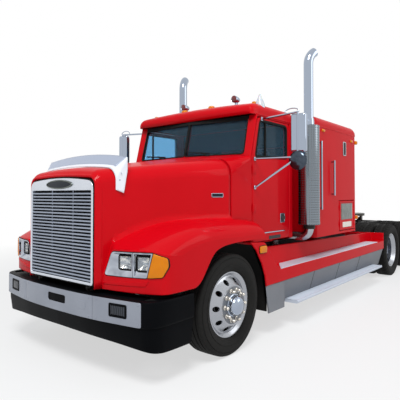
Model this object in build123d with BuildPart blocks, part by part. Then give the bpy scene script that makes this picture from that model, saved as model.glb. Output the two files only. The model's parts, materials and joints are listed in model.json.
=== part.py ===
from build123d import *
import os

os.makedirs("parts", exist_ok=True)

# Overall sizes in millimetres. X is to the truck's left, Y runs from nose to tail, Z is up.
LENGTH = 8640
NOSE_TO_FRONT_AXLE = 1240
FRONT_AXLE_Y = -LENGTH / 2 + NOSE_TO_FRONT_AXLE
WHEEL_Z = 505
FIRST_DRIVE_AFT = 5455
SECOND_DRIVE_AFT = 6775
WALL = 45


def aft(distance):
    """Y of a place that lies this far behind the front axle."""
    return FRONT_AXLE_Y + distance


def block(x0, x1, y0, y1, z0, z1, mode=Mode.ADD):
    """A box between two corners, in the part that is open."""
    with Locations(((x0 + x1) / 2, (y0 + y1) / 2, (z0 + z1) / 2)):
        Box(x1 - x0, y1 - y0, z1 - z0, mode=mode)


def rod(start, end, radius, mode=Mode.ADD):
    """A round bar between two points, in the part that is open."""
    a = Vector(*start)
    b = Vector(*end)
    with BuildSketch(Plane(origin=a, z_dir=b - a)) as outline:
        Circle(radius)
    extrude(outline.sketch, amount=(b - a).length, mode=mode)


def side_prism(points, x0, x1, mode=Mode.ADD):
    """A side view outline of (Y, Z) points carried from one X to another."""
    with BuildSketch(Plane.YZ.offset(x0)) as outline:
        with BuildLine():
            Polyline(*points, close=True)
        make_face()
    extrude(outline.sketch, amount=x1 - x0, mode=mode)


def front_prism(points, y0, y1, mode=Mode.ADD):
    """A front view outline of (X, Z) points carried from one Y to another."""
    with BuildSketch(Plane.XZ.offset(-y0)) as outline:
        with BuildLine():
            Polyline(*points, close=True)
        make_face()
    extrude(outline.sketch, amount=y0 - y1, mode=mode)


def plan_prism(points, z0, z1, mode=Mode.ADD):
    """A plan view outline of (X, Y) points carried from one Z to another."""
    with BuildSketch(Plane.XY.offset(z0)) as outline:
        with BuildLine():
            Polyline(*points, close=True)
        make_face()
    extrude(outline.sketch, amount=z1 - z0, mode=mode)


def crowned_section(y, half_width, z_low, z_top, corner, crown):
    """A front view section with upright sides, round shoulders and a crowned top."""
    shoulder = z_top - crown - corner
    bend = corner * 0.70711
    inner = half_width - corner
    with BuildSketch(Plane.XZ.offset(-y)) as outline:
        with BuildLine():
            Line((-half_width, z_low), (half_width, z_low))
            Line((half_width, z_low), (half_width, shoulder))
            ThreePointArc((half_width, shoulder), (inner + bend, shoulder + bend),
                          (inner, shoulder + corner))
            ThreePointArc((inner, shoulder + corner), (0, z_top), (-inner, shoulder + corner))
            ThreePointArc((-inner, shoulder + corner), (-inner - bend, shoulder + bend),
                          (-half_width, shoulder))
            Line((-half_width, shoulder), (-half_width, z_low))
        make_face()
    return outline.sketch


def spun(points, mode=Mode.ADD):
    """A closed outline of (X, radius) points turned about the wheel line."""
    with BuildSketch(Plane.XY) as outline:
        with BuildLine():
            Polyline(*points, close=True)
        make_face()
    revolve(outline.sketch, axis=Axis.X, mode=mode)


def keep(part, name):
    """Label the finished piece and write its file."""
    part.label = name
    export_step(part, "parts/" + name + ".step")


def keep_right(part, name):
    """The same piece on the other side of the middle plane."""
    with BuildPart() as other:
        mirror(part, about=Plane.YZ)
    keep(other.part, name)


# Frame rails, two channels that open towards each other.
RAIL_X = 430
RAIL_FLANGE = 85
RAIL_LOW = 715
RAIL_TOP = 980
RAIL_FRONT = aft(-1050)
RAIL_REAR = aft(7310)
RAIL_GAUGE = 10
with BuildPart() as frame_rails:
    front_prism(((RAIL_X, RAIL_LOW), (RAIL_X, RAIL_TOP), (RAIL_X - RAIL_FLANGE, RAIL_TOP),
                 (RAIL_X - RAIL_FLANGE, RAIL_TOP - RAIL_GAUGE), (RAIL_X - RAIL_GAUGE, RAIL_TOP - RAIL_GAUGE),
                 (RAIL_X - RAIL_GAUGE, RAIL_LOW + RAIL_GAUGE), (RAIL_X - RAIL_FLANGE, RAIL_LOW + RAIL_GAUGE),
                 (RAIL_X - RAIL_FLANGE, RAIL_LOW)), RAIL_FRONT, RAIL_REAR)
    mirror(about=Plane.YZ)
keep(frame_rails.part, "frame_rails")

# Frame fittings: crossmembers, mounts for cab and sleeper, brackets for bumper and hood hinge, rear bar.
CROSS_AFT = (-980, 1650, 2700, 3700, 4700, 6115, 7230)
CAB_FLOOR = 1035
SLEEPER_FLOOR = 1015
MOUNTS = (
    # aft, top
    (420, CAB_FLOOR),
    (1500, CAB_FLOOR),
    (2200, SLEEPER_FLOOR),
    (3350, SLEEPER_FLOOR),
)
HINGE_Y = aft(-1150)
HINGE_Z = 765
HINGE_BAR = 12
BRACKET_X = 400
BRACKET = ((RAIL_FRONT, 640), (RAIL_FRONT, 760), (HINGE_Y + 14, 778), (HINGE_Y - 14, 778), (HINGE_Y - 14, 750),
           (HINGE_Y - 6, 735), (aft(-1157), 735), (aft(-1157), 600), (aft(-1100), 600))
REAR_BAR = (RAIL_REAR, aft(7390))
with BuildPart() as frame_fittings:
    for place in CROSS_AFT:
        block(-RAIL_X + RAIL_GAUGE, RAIL_X - RAIL_GAUGE, aft(place) - 40, aft(place) + 40,
              RAIL_LOW + 40, RAIL_TOP - 40)
    for side in (-1, 1):
        for place, top in MOUNTS:
            block(side * 390 - 35, side * 390 + 35, aft(place) - 60, aft(place) + 60, RAIL_TOP, top)
        side_prism(BRACKET, side * BRACKET_X - 12, side * BRACKET_X + 12)
        rod((side * BRACKET_X - 20, HINGE_Y, HINGE_Z), (side * BRACKET_X + 20, HINGE_Y, HINGE_Z), HINGE_BAR + 0.4,
            mode=Mode.SUBTRACT)
    block(-1190, 1190, REAR_BAR[0], REAR_BAR[1], 900, 970)
keep(frame_fittings.part, "frame_fittings")

# Bumper, a wrap-round black body; its outline is drawn in plan.
BUMPER_LOW = 290
BUMPER_TOP = 735
BUMPER_PLAN = ((1200, -610), (1200, -860), (1185, -970), (1145, -1065), (1085, -1122), (560, -1210), (0, -1235))
BUMPER_BACK = ((0, -1180), (550, -1155), (1050, -1070), (1095, -1025), (1130, -950), (1145, -850), (1145, -610))


def both_sides(points):
    """A plan outline on the left, with the same points mirrored to close it."""
    right = [(-x, y) for x, y in reversed(points) if x > 0]
    return [(x, aft(y)) for x, y in list(points) + right]


def bumper_band(outline, back, z0, z1):
    """A band between the outer line and the back line, both open at the rear ends."""
    plan_prism(both_sides(outline), z0, z1)
    inner = [(x, y) for x, y in reversed(back)]
    plan_prism([(x, y + (20 if y > aft(-620) else 0)) for x, y in both_sides(inner)], z0 - 5, z1 + 5,
               mode=Mode.SUBTRACT)


FACE_LOW = 525
FACE_TOP = 715
FACE_PLAN = ((1085, -1122), (560, -1210), (0, -1235))
FACE_FRONT = ((1086, -1127), (561, -1215), (0, -1240))
FOG_X = 845
FOG_HALF = 90
FOG_LOW = 584
FOG_TOP = 690
SLOT_X = 30
SLOT_HALF = 142
SLOT_LOW = 602
SLOT_TOP = 677


def bumper_openings():
    """The holes for the fog lamps and the slot near the middle."""
    for side in (-1, 1):
        block(side * FOG_X - FOG_HALF, side * FOG_X + FOG_HALF, aft(-1230), aft(-1060), FOG_LOW, FOG_TOP,
              mode=Mode.SUBTRACT)
    block(SLOT_X - SLOT_HALF, SLOT_X + SLOT_HALF, aft(-1250), aft(-1120), SLOT_LOW, SLOT_TOP, mode=Mode.SUBTRACT)


with BuildPart() as bumper:
    bumper_band(BUMPER_PLAN, BUMPER_BACK, BUMPER_LOW, BUMPER_TOP)
    bumper_openings()
keep(bumper.part, "bumper")

with BuildPart() as bumper_face:
    plan_prism(both_sides(FACE_FRONT), FACE_LOW, FACE_TOP)
    plan_prism(both_sides(FACE_PLAN), FACE_LOW - 5, FACE_TOP + 5, mode=Mode.SUBTRACT)
    bumper_openings()
keep(bumper_face.part, "bumper_face")

# Axles: a dropped front beam with kingpin bosses, two drive axles with bowls, and the shafts to them.
KINGPIN_X = 905
KINGPIN_RADIUS = 20
BEAM_HALF = 45
BOSS_RADIUS = 38
DRIVE_TUBE = 65
BOWL_RADIUS = 195
with BuildPart() as axles:
    front_prism(((-905, 455), (-800, 455), (-640, 360), (640, 360), (800, 455), (905, 455), (905, 555),
                 (780, 555), (620, 460), (-620, 460), (-780, 555), (-905, 555)),
                FRONT_AXLE_Y - BEAM_HALF, FRONT_AXLE_Y + BEAM_HALF)
    for side in (-1, 1):
        with Locations((side * KINGPIN_X, FRONT_AXLE_Y, WHEEL_Z)):
            Cylinder(BOSS_RADIUS, 150)
        rod((side * KINGPIN_X, FRONT_AXLE_Y, 420), (side * KINGPIN_X, FRONT_AXLE_Y, 590),
            KINGPIN_RADIUS + 0.4, mode=Mode.SUBTRACT)
    for place in (FIRST_DRIVE_AFT, SECOND_DRIVE_AFT):
        rod((-985, aft(place), WHEEL_Z), (985, aft(place), WHEEL_Z), DRIVE_TUBE)
        rod((0, aft(place) - 170, WHEEL_Z), (0, aft(place) + 150, WHEEL_Z), BOWL_RADIUS)
        rod((0, aft(place) - 290, WHEEL_Z + 40), (0, aft(place) - 100, WHEEL_Z + 40), 90)
    rod((0, aft(1256), 690), (0, aft(FIRST_DRIVE_AFT - 296), WHEEL_Z + 40), 55)
    rod((0, aft(FIRST_DRIVE_AFT + 156), WHEEL_Z), (0, aft(SECOND_DRIVE_AFT - 296), WHEEL_Z + 40), 50)
keep(axles.part, "axles")

# Suspension: front leaf springs with hangers, rear hangers with trailing arms, and the air springs on them.
SPRING_REACH = 640
with BuildPart() as suspension:
    with BuildSketch(Plane.YZ.offset(375)):
        with BuildLine():
            ThreePointArc((aft(-SPRING_REACH), 640), (aft(0), 460), (aft(SPRING_REACH), 640))
            Line((aft(SPRING_REACH), 640), (aft(SPRING_REACH), 665))
            ThreePointArc((aft(SPRING_REACH), 665), (aft(0), 530), (aft(-SPRING_REACH), 665))
            Line((aft(-SPRING_REACH), 665), (aft(-SPRING_REACH), 640))
        make_face()
    extrude(amount=70)
    for end in (-1, 1):
        block(375, 445, aft(end * (SPRING_REACH - 10)) - 35, aft(end * (SPRING_REACH - 10)) + 35, 620, RAIL_LOW)
    for place in (FIRST_DRIVE_AFT, SECOND_DRIVE_AFT):
        block(385, 475, aft(place - 520), aft(place + 400), 345, 439)
        block(385, 475, aft(place - 520), aft(place - 400), 345, RAIL_LOW)
    mirror(about=Plane.YZ)
keep(suspension.part, "suspension")

AIR_SPRING_RADIUS = 110
with BuildPart() as air_springs:
    for place in (FIRST_DRIVE_AFT, SECOND_DRIVE_AFT):
        rod((430, aft(place + 285), 439), (430, aft(place + 285), RAIL_LOW), AIR_SPRING_RADIUS)
    mirror(about=Plane.YZ)
keep(air_springs.part, "air_springs")

# Engine and gearbox as one plain block, with the radiator ahead of it.
with BuildPart() as engine:
    block(-310, 310, aft(-840), aft(230), 900, 1650)
    block(-290, 290, aft(-700), aft(230), 690, 900)
    block(-230, 230, aft(230), aft(1250), 610, 960)
    block(-480, 480, aft(-1040), aft(-930), RAIL_TOP, 1690)
    block(-335, 335, aft(-1040), aft(-930), RAIL_TOP - 40, RAIL_TOP)
keep(engine.part, "engine")

# Fuel tanks, a drum each side with two brackets to the rail.
TANK_X = 700
TANK_Z = 580
TANK_RADIUS = 240
TANK_FRONT = 1750
TANK_REAR = 4350
with BuildPart() as fuel_tanks:
    rod((TANK_X, aft(TANK_FRONT), TANK_Z), (TANK_X, aft(TANK_REAR), TANK_Z), TANK_RADIUS)
    for place in (2250, 3800):
        block(RAIL_X, 700, aft(place) - 40, aft(place) + 40, 730, 800)
    mirror(about=Plane.YZ)
keep(fuel_tanks.part, "fuel_tanks")

# Cab shell. The lower box, the cowl in front of it and the glass house above it.
CAB_HALF = 985
CAB_FRONT = aft(280)
CAB_COWL = aft(640)
CAB_REAR = aft(1655)
CAB_SILL = 2065
CAB_TOP = 2560
GLASS_HOUSE = (
    # z, side front, pillar x, pillar front, middle front
    (CAB_SILL, 640, 890, 650, 585),
    (CAB_TOP, 765, 890, 775, 700),
)
DOOR_OUTLINE = ((675, 1050), (675, 2110), (800, 2530), (1560, 2530), (1560, 1050))
DOOR_GAP = 8
WINDOW_OUTLINE = ((745, 2060), (845, 2490), (1490, 2490), (1490, 2085))


def glass_house(inset, low_extra, top_extra, mode=Mode.ADD):
    """The pillars' outer shape, or the same drawn inwards by the inset."""
    sections = []
    for z, side_front, pillar_x, pillar_front, middle_front in GLASS_HOUSE:
        level = z - low_extra if z == CAB_SILL else z + top_extra
        half = CAB_HALF - inset
        pillar = pillar_x - inset * 0.3
        rear = 1655 - inset
        points = [(half, rear), (half, side_front + inset), (pillar, pillar_front + inset),
                  (0, middle_front + inset), (-pillar, pillar_front + inset), (-half, side_front + inset),
                  (-half, rear)]
        with BuildSketch(Plane.XY.offset(level)) as outline:
            with BuildLine():
                Polyline(*[(x, aft(y)) for x, y in points], close=True)
            make_face()
        sections.append(outline.sketch)
    loft(sections, ruled=True, mode=mode)


def screen_panes(edge, mode):
    """Both halves of the windshield seen from the front, drawn in by the edge."""
    for side in (-1, 1):
        front_prism([(side * x, z) for x, z in ((14 + edge, 2100 + edge), (868 - edge, 2095 + edge),
                                                (862 - edge, 2505 - edge), (14 + edge, 2515 - edge))],
                    aft(400), aft(1000), mode=mode)


def offset_door(grow):
    """The door outline moved outwards on every edge."""
    return [(aft(y + (grow if y > 1000 else -grow)), z + (grow if z > 2200 else (0 if z > 2000 else -grow)))
            for y, z in DOOR_OUTLINE]


with BuildPart() as cab_shell:
    block(-CAB_HALF, CAB_HALF, CAB_COWL, CAB_REAR, CAB_FLOOR, CAB_SILL)
    loft([crowned_section(CAB_FRONT, 972, 1180, 2040, 190, 30),
          crowned_section(CAB_COWL, 985, 1180, 2090, 60, 25)], ruled=True)
    glass_house(0, 0, 0)
    block(-CAB_HALF + WALL, CAB_HALF - WALL, CAB_COWL - 1, CAB_REAR - WALL, CAB_FLOOR + WALL, CAB_SILL + 1,
          mode=Mode.SUBTRACT)
    loft([crowned_section(CAB_FRONT + WALL, 972 - WALL, 1180 + WALL, 2040 - WALL, 150, 30),
          crowned_section(CAB_COWL + 1, 985 - WALL, 1180 + WALL, 2090 - WALL, 40, 15)],
         ruled=True, mode=Mode.SUBTRACT)
    glass_house(WALL, 30, 5, mode=Mode.SUBTRACT)
    side_prism(offset_door(DOOR_GAP), CAB_HALF - WALL - 20, CAB_HALF + 20, mode=Mode.SUBTRACT)
    side_prism(offset_door(DOOR_GAP), -CAB_HALF - 20, -CAB_HALF + WALL + 20, mode=Mode.SUBTRACT)
    screen_panes(0, Mode.SUBTRACT)
    block(-450, 450, CAB_REAR - WALL - 5, CAB_REAR + 5, 1150, 2350, mode=Mode.SUBTRACT)
keep(cab_shell.part, "cab_shell")

with BuildPart() as panes:
    screen_panes(0.5, Mode.ADD)
with BuildPart() as windshield:
    glass_house(18, 0, 0)
    glass_house(26, 3, 3, mode=Mode.SUBTRACT)
    add(panes.part, mode=Mode.INTERSECT)
keep(windshield.part, "windshield")

# Cab roof with the brow that overhangs the windshield.
CAB_ROOF = (
    # aft, half width, top, corner, crown
    (690, 950, 2630, 35, 10),
    (740, 975, 2700, 80, 18),
    (840, 985, 2735, 100, 25),
    (1655, 985, 2745, 100, 30),
)
ROOF_GAUGE = 40
with BuildPart() as cab_roof:
    loft([crowned_section(aft(y), half, CAB_TOP, top, corner, crown)
          for y, half, top, corner, crown in CAB_ROOF], ruled=True)
    loft([crowned_section(aft(y), 985 - ROOF_GAUGE, CAB_TOP - 10, 2740 - ROOF_GAUGE, 70, 25)
          for y in (860, 1655 - ROOF_GAUGE)], ruled=True, mode=Mode.SUBTRACT)
keep(cab_roof.part, "cab_roof")

# Seats and dashboard, seen through the glass.
SEAT_X = 500
with BuildPart() as seats:
    block(SEAT_X - 240, SEAT_X + 240, aft(960), aft(1440), 1440, 1580)
    side_prism([(aft(y), z) for y, z in ((1370, 1560), (1480, 1560), (1580, 2230), (1490, 2230))],
               SEAT_X - 240, SEAT_X + 240)
    block(SEAT_X - 170, SEAT_X + 170, aft(1040), aft(1360), CAB_FLOOR + WALL, 1440)
    mirror(about=Plane.YZ)
keep(seats.part, "seats")

COLUMN_LOW = (SEAT_X, aft(760), 1434)
COLUMN_HIGH = (SEAT_X, aft(985), 1824)
with BuildPart() as dashboard:
    side_prism([(aft(y), z) for y, z in ((640, 1380), (780, 1380), (770, 1860), (735, 1950), (690, 1985),
                                         (640, 1985))], -CAB_HALF + WALL, CAB_HALF - WALL)
    rod(COLUMN_LOW, COLUMN_HIGH, 35)
keep(dashboard.part, "dashboard")

# Steering wheel, a rim with three spokes on the column's line.
COLUMN = (Vector(*COLUMN_HIGH) - Vector(*COLUMN_LOW)).normalized()
WHEEL_HUB = Vector(*COLUMN_HIGH) + COLUMN * 6
STEER_RIM = 215
STEER_GRIP = 15
with BuildPart() as steering_wheel:
    with Locations(Plane(origin=WHEEL_HUB, z_dir=COLUMN)):
        with Locations((0, 0, 20)):
            Cylinder(45, 40)
        with Locations((0, 0, 30)):
            Torus(STEER_RIM, STEER_GRIP)
        for turn in (90, 210, 330):
            with Locations(Location((0, 0, 30), (0, 0, turn))):
                Box(STEER_RIM, 30, 12, align=(Align.MIN, Align.CENTER, Align.CENTER))
keep(steering_wheel.part, "steering_wheel")

# Sleeper, a box with round upright corners, open to the cab, with a luggage hatch in each side.
SLEEPER_HALF = 1160
SLEEPER_FRONT = aft(1985)
SLEEPER_REAR = aft(3550)
SLEEPER_TOP = 2570
SLEEPER_WALL = 40
HATCH_FRONT = aft(2830)
HATCH_REAR = aft(3450)
HATCH_LOW = 1060
HATCH_TOP = 1510
with BuildPart() as sleeper_shell:
    with BuildSketch(Plane.XY.offset(SLEEPER_FLOOR)):
        with Locations((0, (SLEEPER_FRONT + SLEEPER_REAR) / 2)):
            RectangleRounded(2 * SLEEPER_HALF, SLEEPER_REAR - SLEEPER_FRONT, 60)
    extrude(amount=SLEEPER_TOP - SLEEPER_FLOOR)
    block(-SLEEPER_HALF + SLEEPER_WALL, SLEEPER_HALF - SLEEPER_WALL, SLEEPER_FRONT + SLEEPER_WALL,
          SLEEPER_REAR - SLEEPER_WALL, SLEEPER_FLOOR + SLEEPER_WALL, SLEEPER_TOP + 5, mode=Mode.SUBTRACT)
    block(-450, 450, SLEEPER_FRONT - 5, SLEEPER_FRONT + SLEEPER_WALL + 5, 1150, 2350, mode=Mode.SUBTRACT)
    for side in (-1, 1):
        block(side * SLEEPER_HALF - 60, side * SLEEPER_HALF + 60, HATCH_FRONT - DOOR_GAP, HATCH_REAR + DOOR_GAP,
              HATCH_LOW - DOOR_GAP, HATCH_TOP + DOOR_GAP, mode=Mode.SUBTRACT)
keep(sleeper_shell.part, "sleeper_shell")

SLEEPER_ROOF = (
    # aft, half width, top, corner, crown
    (1985, 1150, 2660, 60, 10),
    (2070, 1160, 2740, 110, 25),
    (3460, 1160, 2740, 110, 25),
    (3550, 1150, 2650, 60, 10),
)
with BuildPart() as sleeper_roof:
    loft([crowned_section(aft(y), half, SLEEPER_TOP, top, corner, crown)
          for y, half, top, corner, crown in SLEEPER_ROOF], ruled=True)
    loft([crowned_section(aft(y), 1160 - SLEEPER_WALL, SLEEPER_TOP - 10, 2740 - SLEEPER_WALL, 80, 25)
          for y in (2080, 3450)], ruled=True, mode=Mode.SUBTRACT)
keep(sleeper_roof.part, "sleeper_roof")

# Boot that joins the cab's rear opening to the sleeper's front opening.
with BuildPart() as sleeper_boot:
    block(-520, 520, CAB_REAR, SLEEPER_FRONT, 1090, 2410)
    block(-450, 450, CAB_REAR - 5, SLEEPER_FRONT + 5, 1150, 2350, mode=Mode.SUBTRACT)
keep(sleeper_boot.part, "sleeper_boot")

# Luggage doors, each with a hinge barrel outside its front edge.
HATCH_AXIS_X = SLEEPER_HALF + 8
HATCH_AXIS_Y = HATCH_FRONT - 4
with BuildPart() as luggage_door:
    block(SLEEPER_HALF - SLEEPER_WALL, SLEEPER_HALF, HATCH_FRONT, HATCH_REAR, HATCH_LOW, HATCH_TOP)
    for z in (1160, 1410):
        rod((HATCH_AXIS_X, HATCH_AXIS_Y, z - 35), (HATCH_AXIS_X, HATCH_AXIS_Y, z + 35), 7)
        block(SLEEPER_HALF - 2, HATCH_AXIS_X, HATCH_AXIS_Y + 1, HATCH_FRONT + 40, z - 35, z + 35)
keep(luggage_door.part, "luggage_door_left")
keep_right(luggage_door.part, "luggage_door_right")

# Doors, each with a window, hinge barrels outside its front edge and a handle.
DOOR_AXIS_X = CAB_HALF + 9
DOOR_AXIS_Y = aft(669)
with BuildPart() as door:
    side_prism([(aft(y), z) for y, z in DOOR_OUTLINE], CAB_HALF - WALL, CAB_HALF)
    side_prism([(aft(y), z) for y, z in WINDOW_OUTLINE], CAB_HALF - WALL - 5, CAB_HALF + 5, mode=Mode.SUBTRACT)
    for z in (1450, 1900):
        rod((DOOR_AXIS_X, DOOR_AXIS_Y, z - 45), (DOOR_AXIS_X, DOOR_AXIS_Y, z + 45), 8)
        block(CAB_HALF - 2, DOOR_AXIS_X, DOOR_AXIS_Y + 1, aft(740), z - 45, z + 45)
    block(CAB_HALF, CAB_HALF + 25, aft(1330), aft(1450), 1270, 1350)
keep(door.part, "door_left")
keep_right(door.part, "door_right")

with BuildPart() as door_glass:
    side_prism([(aft(y), z) for y, z in WINDOW_OUTLINE], CAB_HALF - 26, CAB_HALF - 18)
keep(door_glass.part, "door_glass_left")
keep_right(door_glass.part, "door_glass_right")

# Mirrors, a tall head and a round one on tube arms from the door.
MIRROR_X = 1490
MIRROR_Y = aft(820)
ARM_RADIUS = 12
with BuildPart() as mirror_head:
    for place, z, end_z in ((715, 2025, 2025), (715, 1690, 2025), (870, 2505, 2545)):
        rod((CAB_HALF + 8, aft(place), z), (MIRROR_X, MIRROR_Y, end_z), ARM_RADIUS)
        block(CAB_HALF, CAB_HALF + 16, aft(place) - 20, aft(place) + 20, z - 22, z + 22)
    rod((MIRROR_X, MIRROR_Y, 2000), (MIRROR_X, MIRROR_Y, 2560), ARM_RADIUS)
    block(MIRROR_X - 92, MIRROR_X + 92, MIRROR_Y - 5, MIRROR_Y + 70, 2090, 2500)
    rod((MIRROR_X, MIRROR_Y - 35, 2000), (MIRROR_X, MIRROR_Y + 5, 2000), 98)
keep(mirror_head.part, "mirror_left")
keep_right(mirror_head.part, "mirror_right")

# Grab handles on the sleeper sides.
HANDLES = (
    # aft, low, high
    (2100, 1400, 2355),
    (2548, 1595, 2110),
)
with BuildPart() as grab_handles:
    for place, low, high in HANDLES:
        rod((SLEEPER_HALF + 45, aft(place), low), (SLEEPER_HALF + 45, aft(place), high), 14)
        for z in (low + 20, high - 20):
            rod((SLEEPER_HALF, aft(place), z), (SLEEPER_HALF + 45, aft(place), z), 12)
    mirror(about=Plane.YZ)
keep(grab_handles.part, "grab_handles")

# Lamps: two bullets on feet on the cab roof, and the square fog lamps in the bumper.
BULLET_X = 447
BULLET_AFT = 1090
BULLET_Z = 2880
FOG_OUTLINE = ((755, -1172), (935, -1142), (935, -1098), (755, -1126))
with BuildPart() as lamps:
    for side in (-1, 1):
        rod((side * BULLET_X, aft(BULLET_AFT - 30), BULLET_Z), (side * BULLET_X, aft(BULLET_AFT + 90), BULLET_Z), 46)
        block(side * BULLET_X - 15, side * BULLET_X + 15, aft(BULLET_AFT), aft(BULLET_AFT + 60), 2725, BULLET_Z)
        plan_prism([(side * x, aft(y)) for x, y in FOG_OUTLINE], FOG_LOW, FOG_TOP)
    add(cab_roof.part, mode=Mode.SUBTRACT)
keep(lamps.part, "lamps")

# Exhaust: guards round the mufflers, pipes above them with tips that curve to the rear, elbows below.
STACK_X = 1142
STACK_AFT = 1825
PIPE_RADIUS = 64
GUARD_RADIUS = 145
GUARD_LOW = 1205
GUARD_TOP = 2535
TIP_START = 3290
TIP_BEND = 260
TIP_COS = (0.85717, 0.46947)
TIP_SIN = (0.51504, 0.88295)
ELBOW_TOP = 1155
ELBOW_BEND = 110
ELBOW_RADIUS = 58
with BuildPart() as exhaust_stacks:
    rod((STACK_X, aft(STACK_AFT), GUARD_LOW), (STACK_X, aft(STACK_AFT), GUARD_TOP), GUARD_RADIUS)
    rod((STACK_X, aft(STACK_AFT), GUARD_TOP), (STACK_X, aft(STACK_AFT), TIP_START), PIPE_RADIUS)
    with BuildLine() as tip_path:
        ThreePointArc((STACK_X, aft(STACK_AFT), TIP_START),
                      (STACK_X, aft(STACK_AFT) + TIP_BEND * (1 - TIP_COS[0]), TIP_START + TIP_BEND * TIP_SIN[0]),
                      (STACK_X, aft(STACK_AFT) + TIP_BEND * (1 - TIP_COS[1]), TIP_START + TIP_BEND * TIP_SIN[1]))
    with BuildSketch(Plane.XY.offset(TIP_START)) as tip_ring:
        with Locations((STACK_X, aft(STACK_AFT))):
            Circle(PIPE_RADIUS)
            Circle(PIPE_RADIUS - 4, mode=Mode.SUBTRACT)
    sweep(tip_ring.sketch, path=tip_path.line)
    rod((STACK_X, aft(STACK_AFT), ELBOW_TOP), (STACK_X, aft(STACK_AFT), GUARD_LOW), 75)
    with BuildLine() as elbow_path:
        ThreePointArc((STACK_X, aft(STACK_AFT), ELBOW_TOP),
                      (STACK_X - ELBOW_BEND * 0.29289, aft(STACK_AFT), ELBOW_TOP - ELBOW_BEND * 0.70711),
                      (STACK_X - ELBOW_BEND, aft(STACK_AFT), ELBOW_TOP - ELBOW_BEND))
    with BuildSketch(Plane.XY.offset(ELBOW_TOP)) as elbow_ring:
        with Locations((STACK_X, aft(STACK_AFT))):
            Circle(ELBOW_RADIUS)
    sweep(elbow_ring.sketch, path=elbow_path.line)
    rod((STACK_X - ELBOW_BEND, aft(STACK_AFT), ELBOW_TOP - ELBOW_BEND), (600, aft(STACK_AFT), 1045), ELBOW_RADIUS)
    rod((600, aft(STACK_AFT), 1045), (600, aft(STACK_AFT), 840), ELBOW_RADIUS)
    mirror(about=Plane.YZ)
keep(exhaust_stacks.part, "exhaust_stacks")

# Side fairings: a low band, a ledge, an inner wall, a quarter panel behind the front wheel, a rear end wall.
FAIRING_X = 1200
FAIRING_GAUGE = 22
FAIRING_LOW = 585
LEDGE_Z = 735
FAIRING_REAR = 4900
QUARTER_OUTLINE = ((310, 1100), (600, 1075), (700, 980), (820, 835), (960, LEDGE_Z), (960, FAIRING_LOW),
                   (625, FAIRING_LOW), (605, 700), (535, 850), (425, 1000))
QUARTER_HOLLOW = ((250, 1075), (588, 1053), (682, 966), (803, 820), (935, 720), (935, 500), (400, 500), (250, 800))
with BuildPart() as side_fairings:
    front_prism(((FAIRING_X, FAIRING_LOW), (FAIRING_X, LEDGE_Z), (975, LEDGE_Z), (945, 970), (921, 970),
                 (952, 713), (FAIRING_X - FAIRING_GAUGE, 713), (FAIRING_X - FAIRING_GAUGE, FAIRING_LOW)),
                aft(900), aft(FAIRING_REAR))
    side_prism([(aft(y), z) for y, z in ((880, 990), (880, 970), (4950, 880), (4950, 990))], 880, 970,
               mode=Mode.SUBTRACT)
    side_prism([(aft(y), z) for y, z in QUARTER_OUTLINE], 998, FAIRING_X)
    side_prism([(aft(y), z) for y, z in QUARTER_HOLLOW], 990, FAIRING_X - FAIRING_GAUGE, mode=Mode.SUBTRACT)
    front_prism(((450, 620), (FAIRING_X, FAIRING_LOW), (FAIRING_X, 885), (921, 880), (450, 870)),
                aft(FAIRING_REAR - FAIRING_GAUGE), aft(FAIRING_REAR))
    for place in (1400, 3000, 4500):
        block(RAIL_X, 945, aft(place) - 12, aft(place) + 12, 850, 905)
    mirror(about=Plane.YZ)
keep(side_fairings.part, "side_fairings")

SKIRT_X = 1193
SKIRT_FOOT_X = 1105
SKIRT_STEP = 1050
with BuildPart() as skirts:
    side_prism([(aft(y), z) for y, z in ((632, FAIRING_LOW), (690, 270), (SKIRT_STEP, 270), (SKIRT_STEP, FAIRING_LOW))],
               SKIRT_X - 20, SKIRT_X)
    front_prism(((SKIRT_X, FAIRING_LOW), (SKIRT_X - 20, FAIRING_LOW), (SKIRT_FOOT_X - 20, 290), (SKIRT_FOOT_X, 290)),
                aft(SKIRT_STEP - 20), aft(4860))
    side_prism([(aft(y), z) for y, z in ((SKIRT_STEP - 20, FAIRING_LOW), (SKIRT_STEP - 20, 270), (SKIRT_STEP, 270),
                                         (SKIRT_STEP, FAIRING_LOW))], SKIRT_FOOT_X - 30, SKIRT_X)
    mirror(about=Plane.YZ)
keep(skirts.part, "skirts")

# Tread plates on the ledges, running boards and the deck behind the sleeper.
with BuildPart() as tread_plates:
    block(1000, FAIRING_X - 2, aft(1010), aft(4680), LEDGE_Z, LEDGE_Z + 6)
    front_prism(((SKIRT_FOOT_X, 290), (1290, 290), (1290, 335), (SKIRT_FOOT_X + 14, 335)), aft(1200), aft(4480))
    mirror(about=Plane.YZ)
    block(-RAIL_X, RAIL_X, aft(3600), aft(4550), RAIL_TOP, RAIL_TOP + 8)
keep(tread_plates.part, "tread_plates")

# Hood with both fenders, one moulding. Crowned sections make the middle, side sections make a fender.
HOOD_LOW = 775
HOOD_GAUGE = 25
HOOD_MIDDLE = (
    # aft, half width, top, corner, crown
    (-1175, 548, 1800, 90, 14),
    (-1120, 572, 1850, 120, 20),
    (-900, 630, 1885, 140, 24),
    (260, 965, 2035, 190, 30),
)
HOOD_HOLLOW = (
    # aft, half width, top, corner, crown
    (-1148, 523, 1775, 75, 14),
    (-1105, 547, 1825, 105, 20),
    (-880, 608, 1862, 125, 24),
    (290, 945, 2012, 175, 30),
)
FENDER = (
    # x, front, height against the crest
    (540, -1130, 95),
    (800, -1098, 90),
    (950, -1056, 75),
    (1120, -965, 0),
    (1185, -885, -60),
    (1205, -800, -130),
)
FENDER_HOLLOW = (
    # x, front, height against the crest
    (515, -1105, 70),
    (790, -1073, 65),
    (935, -1031, 50),
    (1102, -940, -25),
    (1163, -860, -85),
    (1180, -775, -150),
)
FENDER_TAIL = 620


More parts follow.
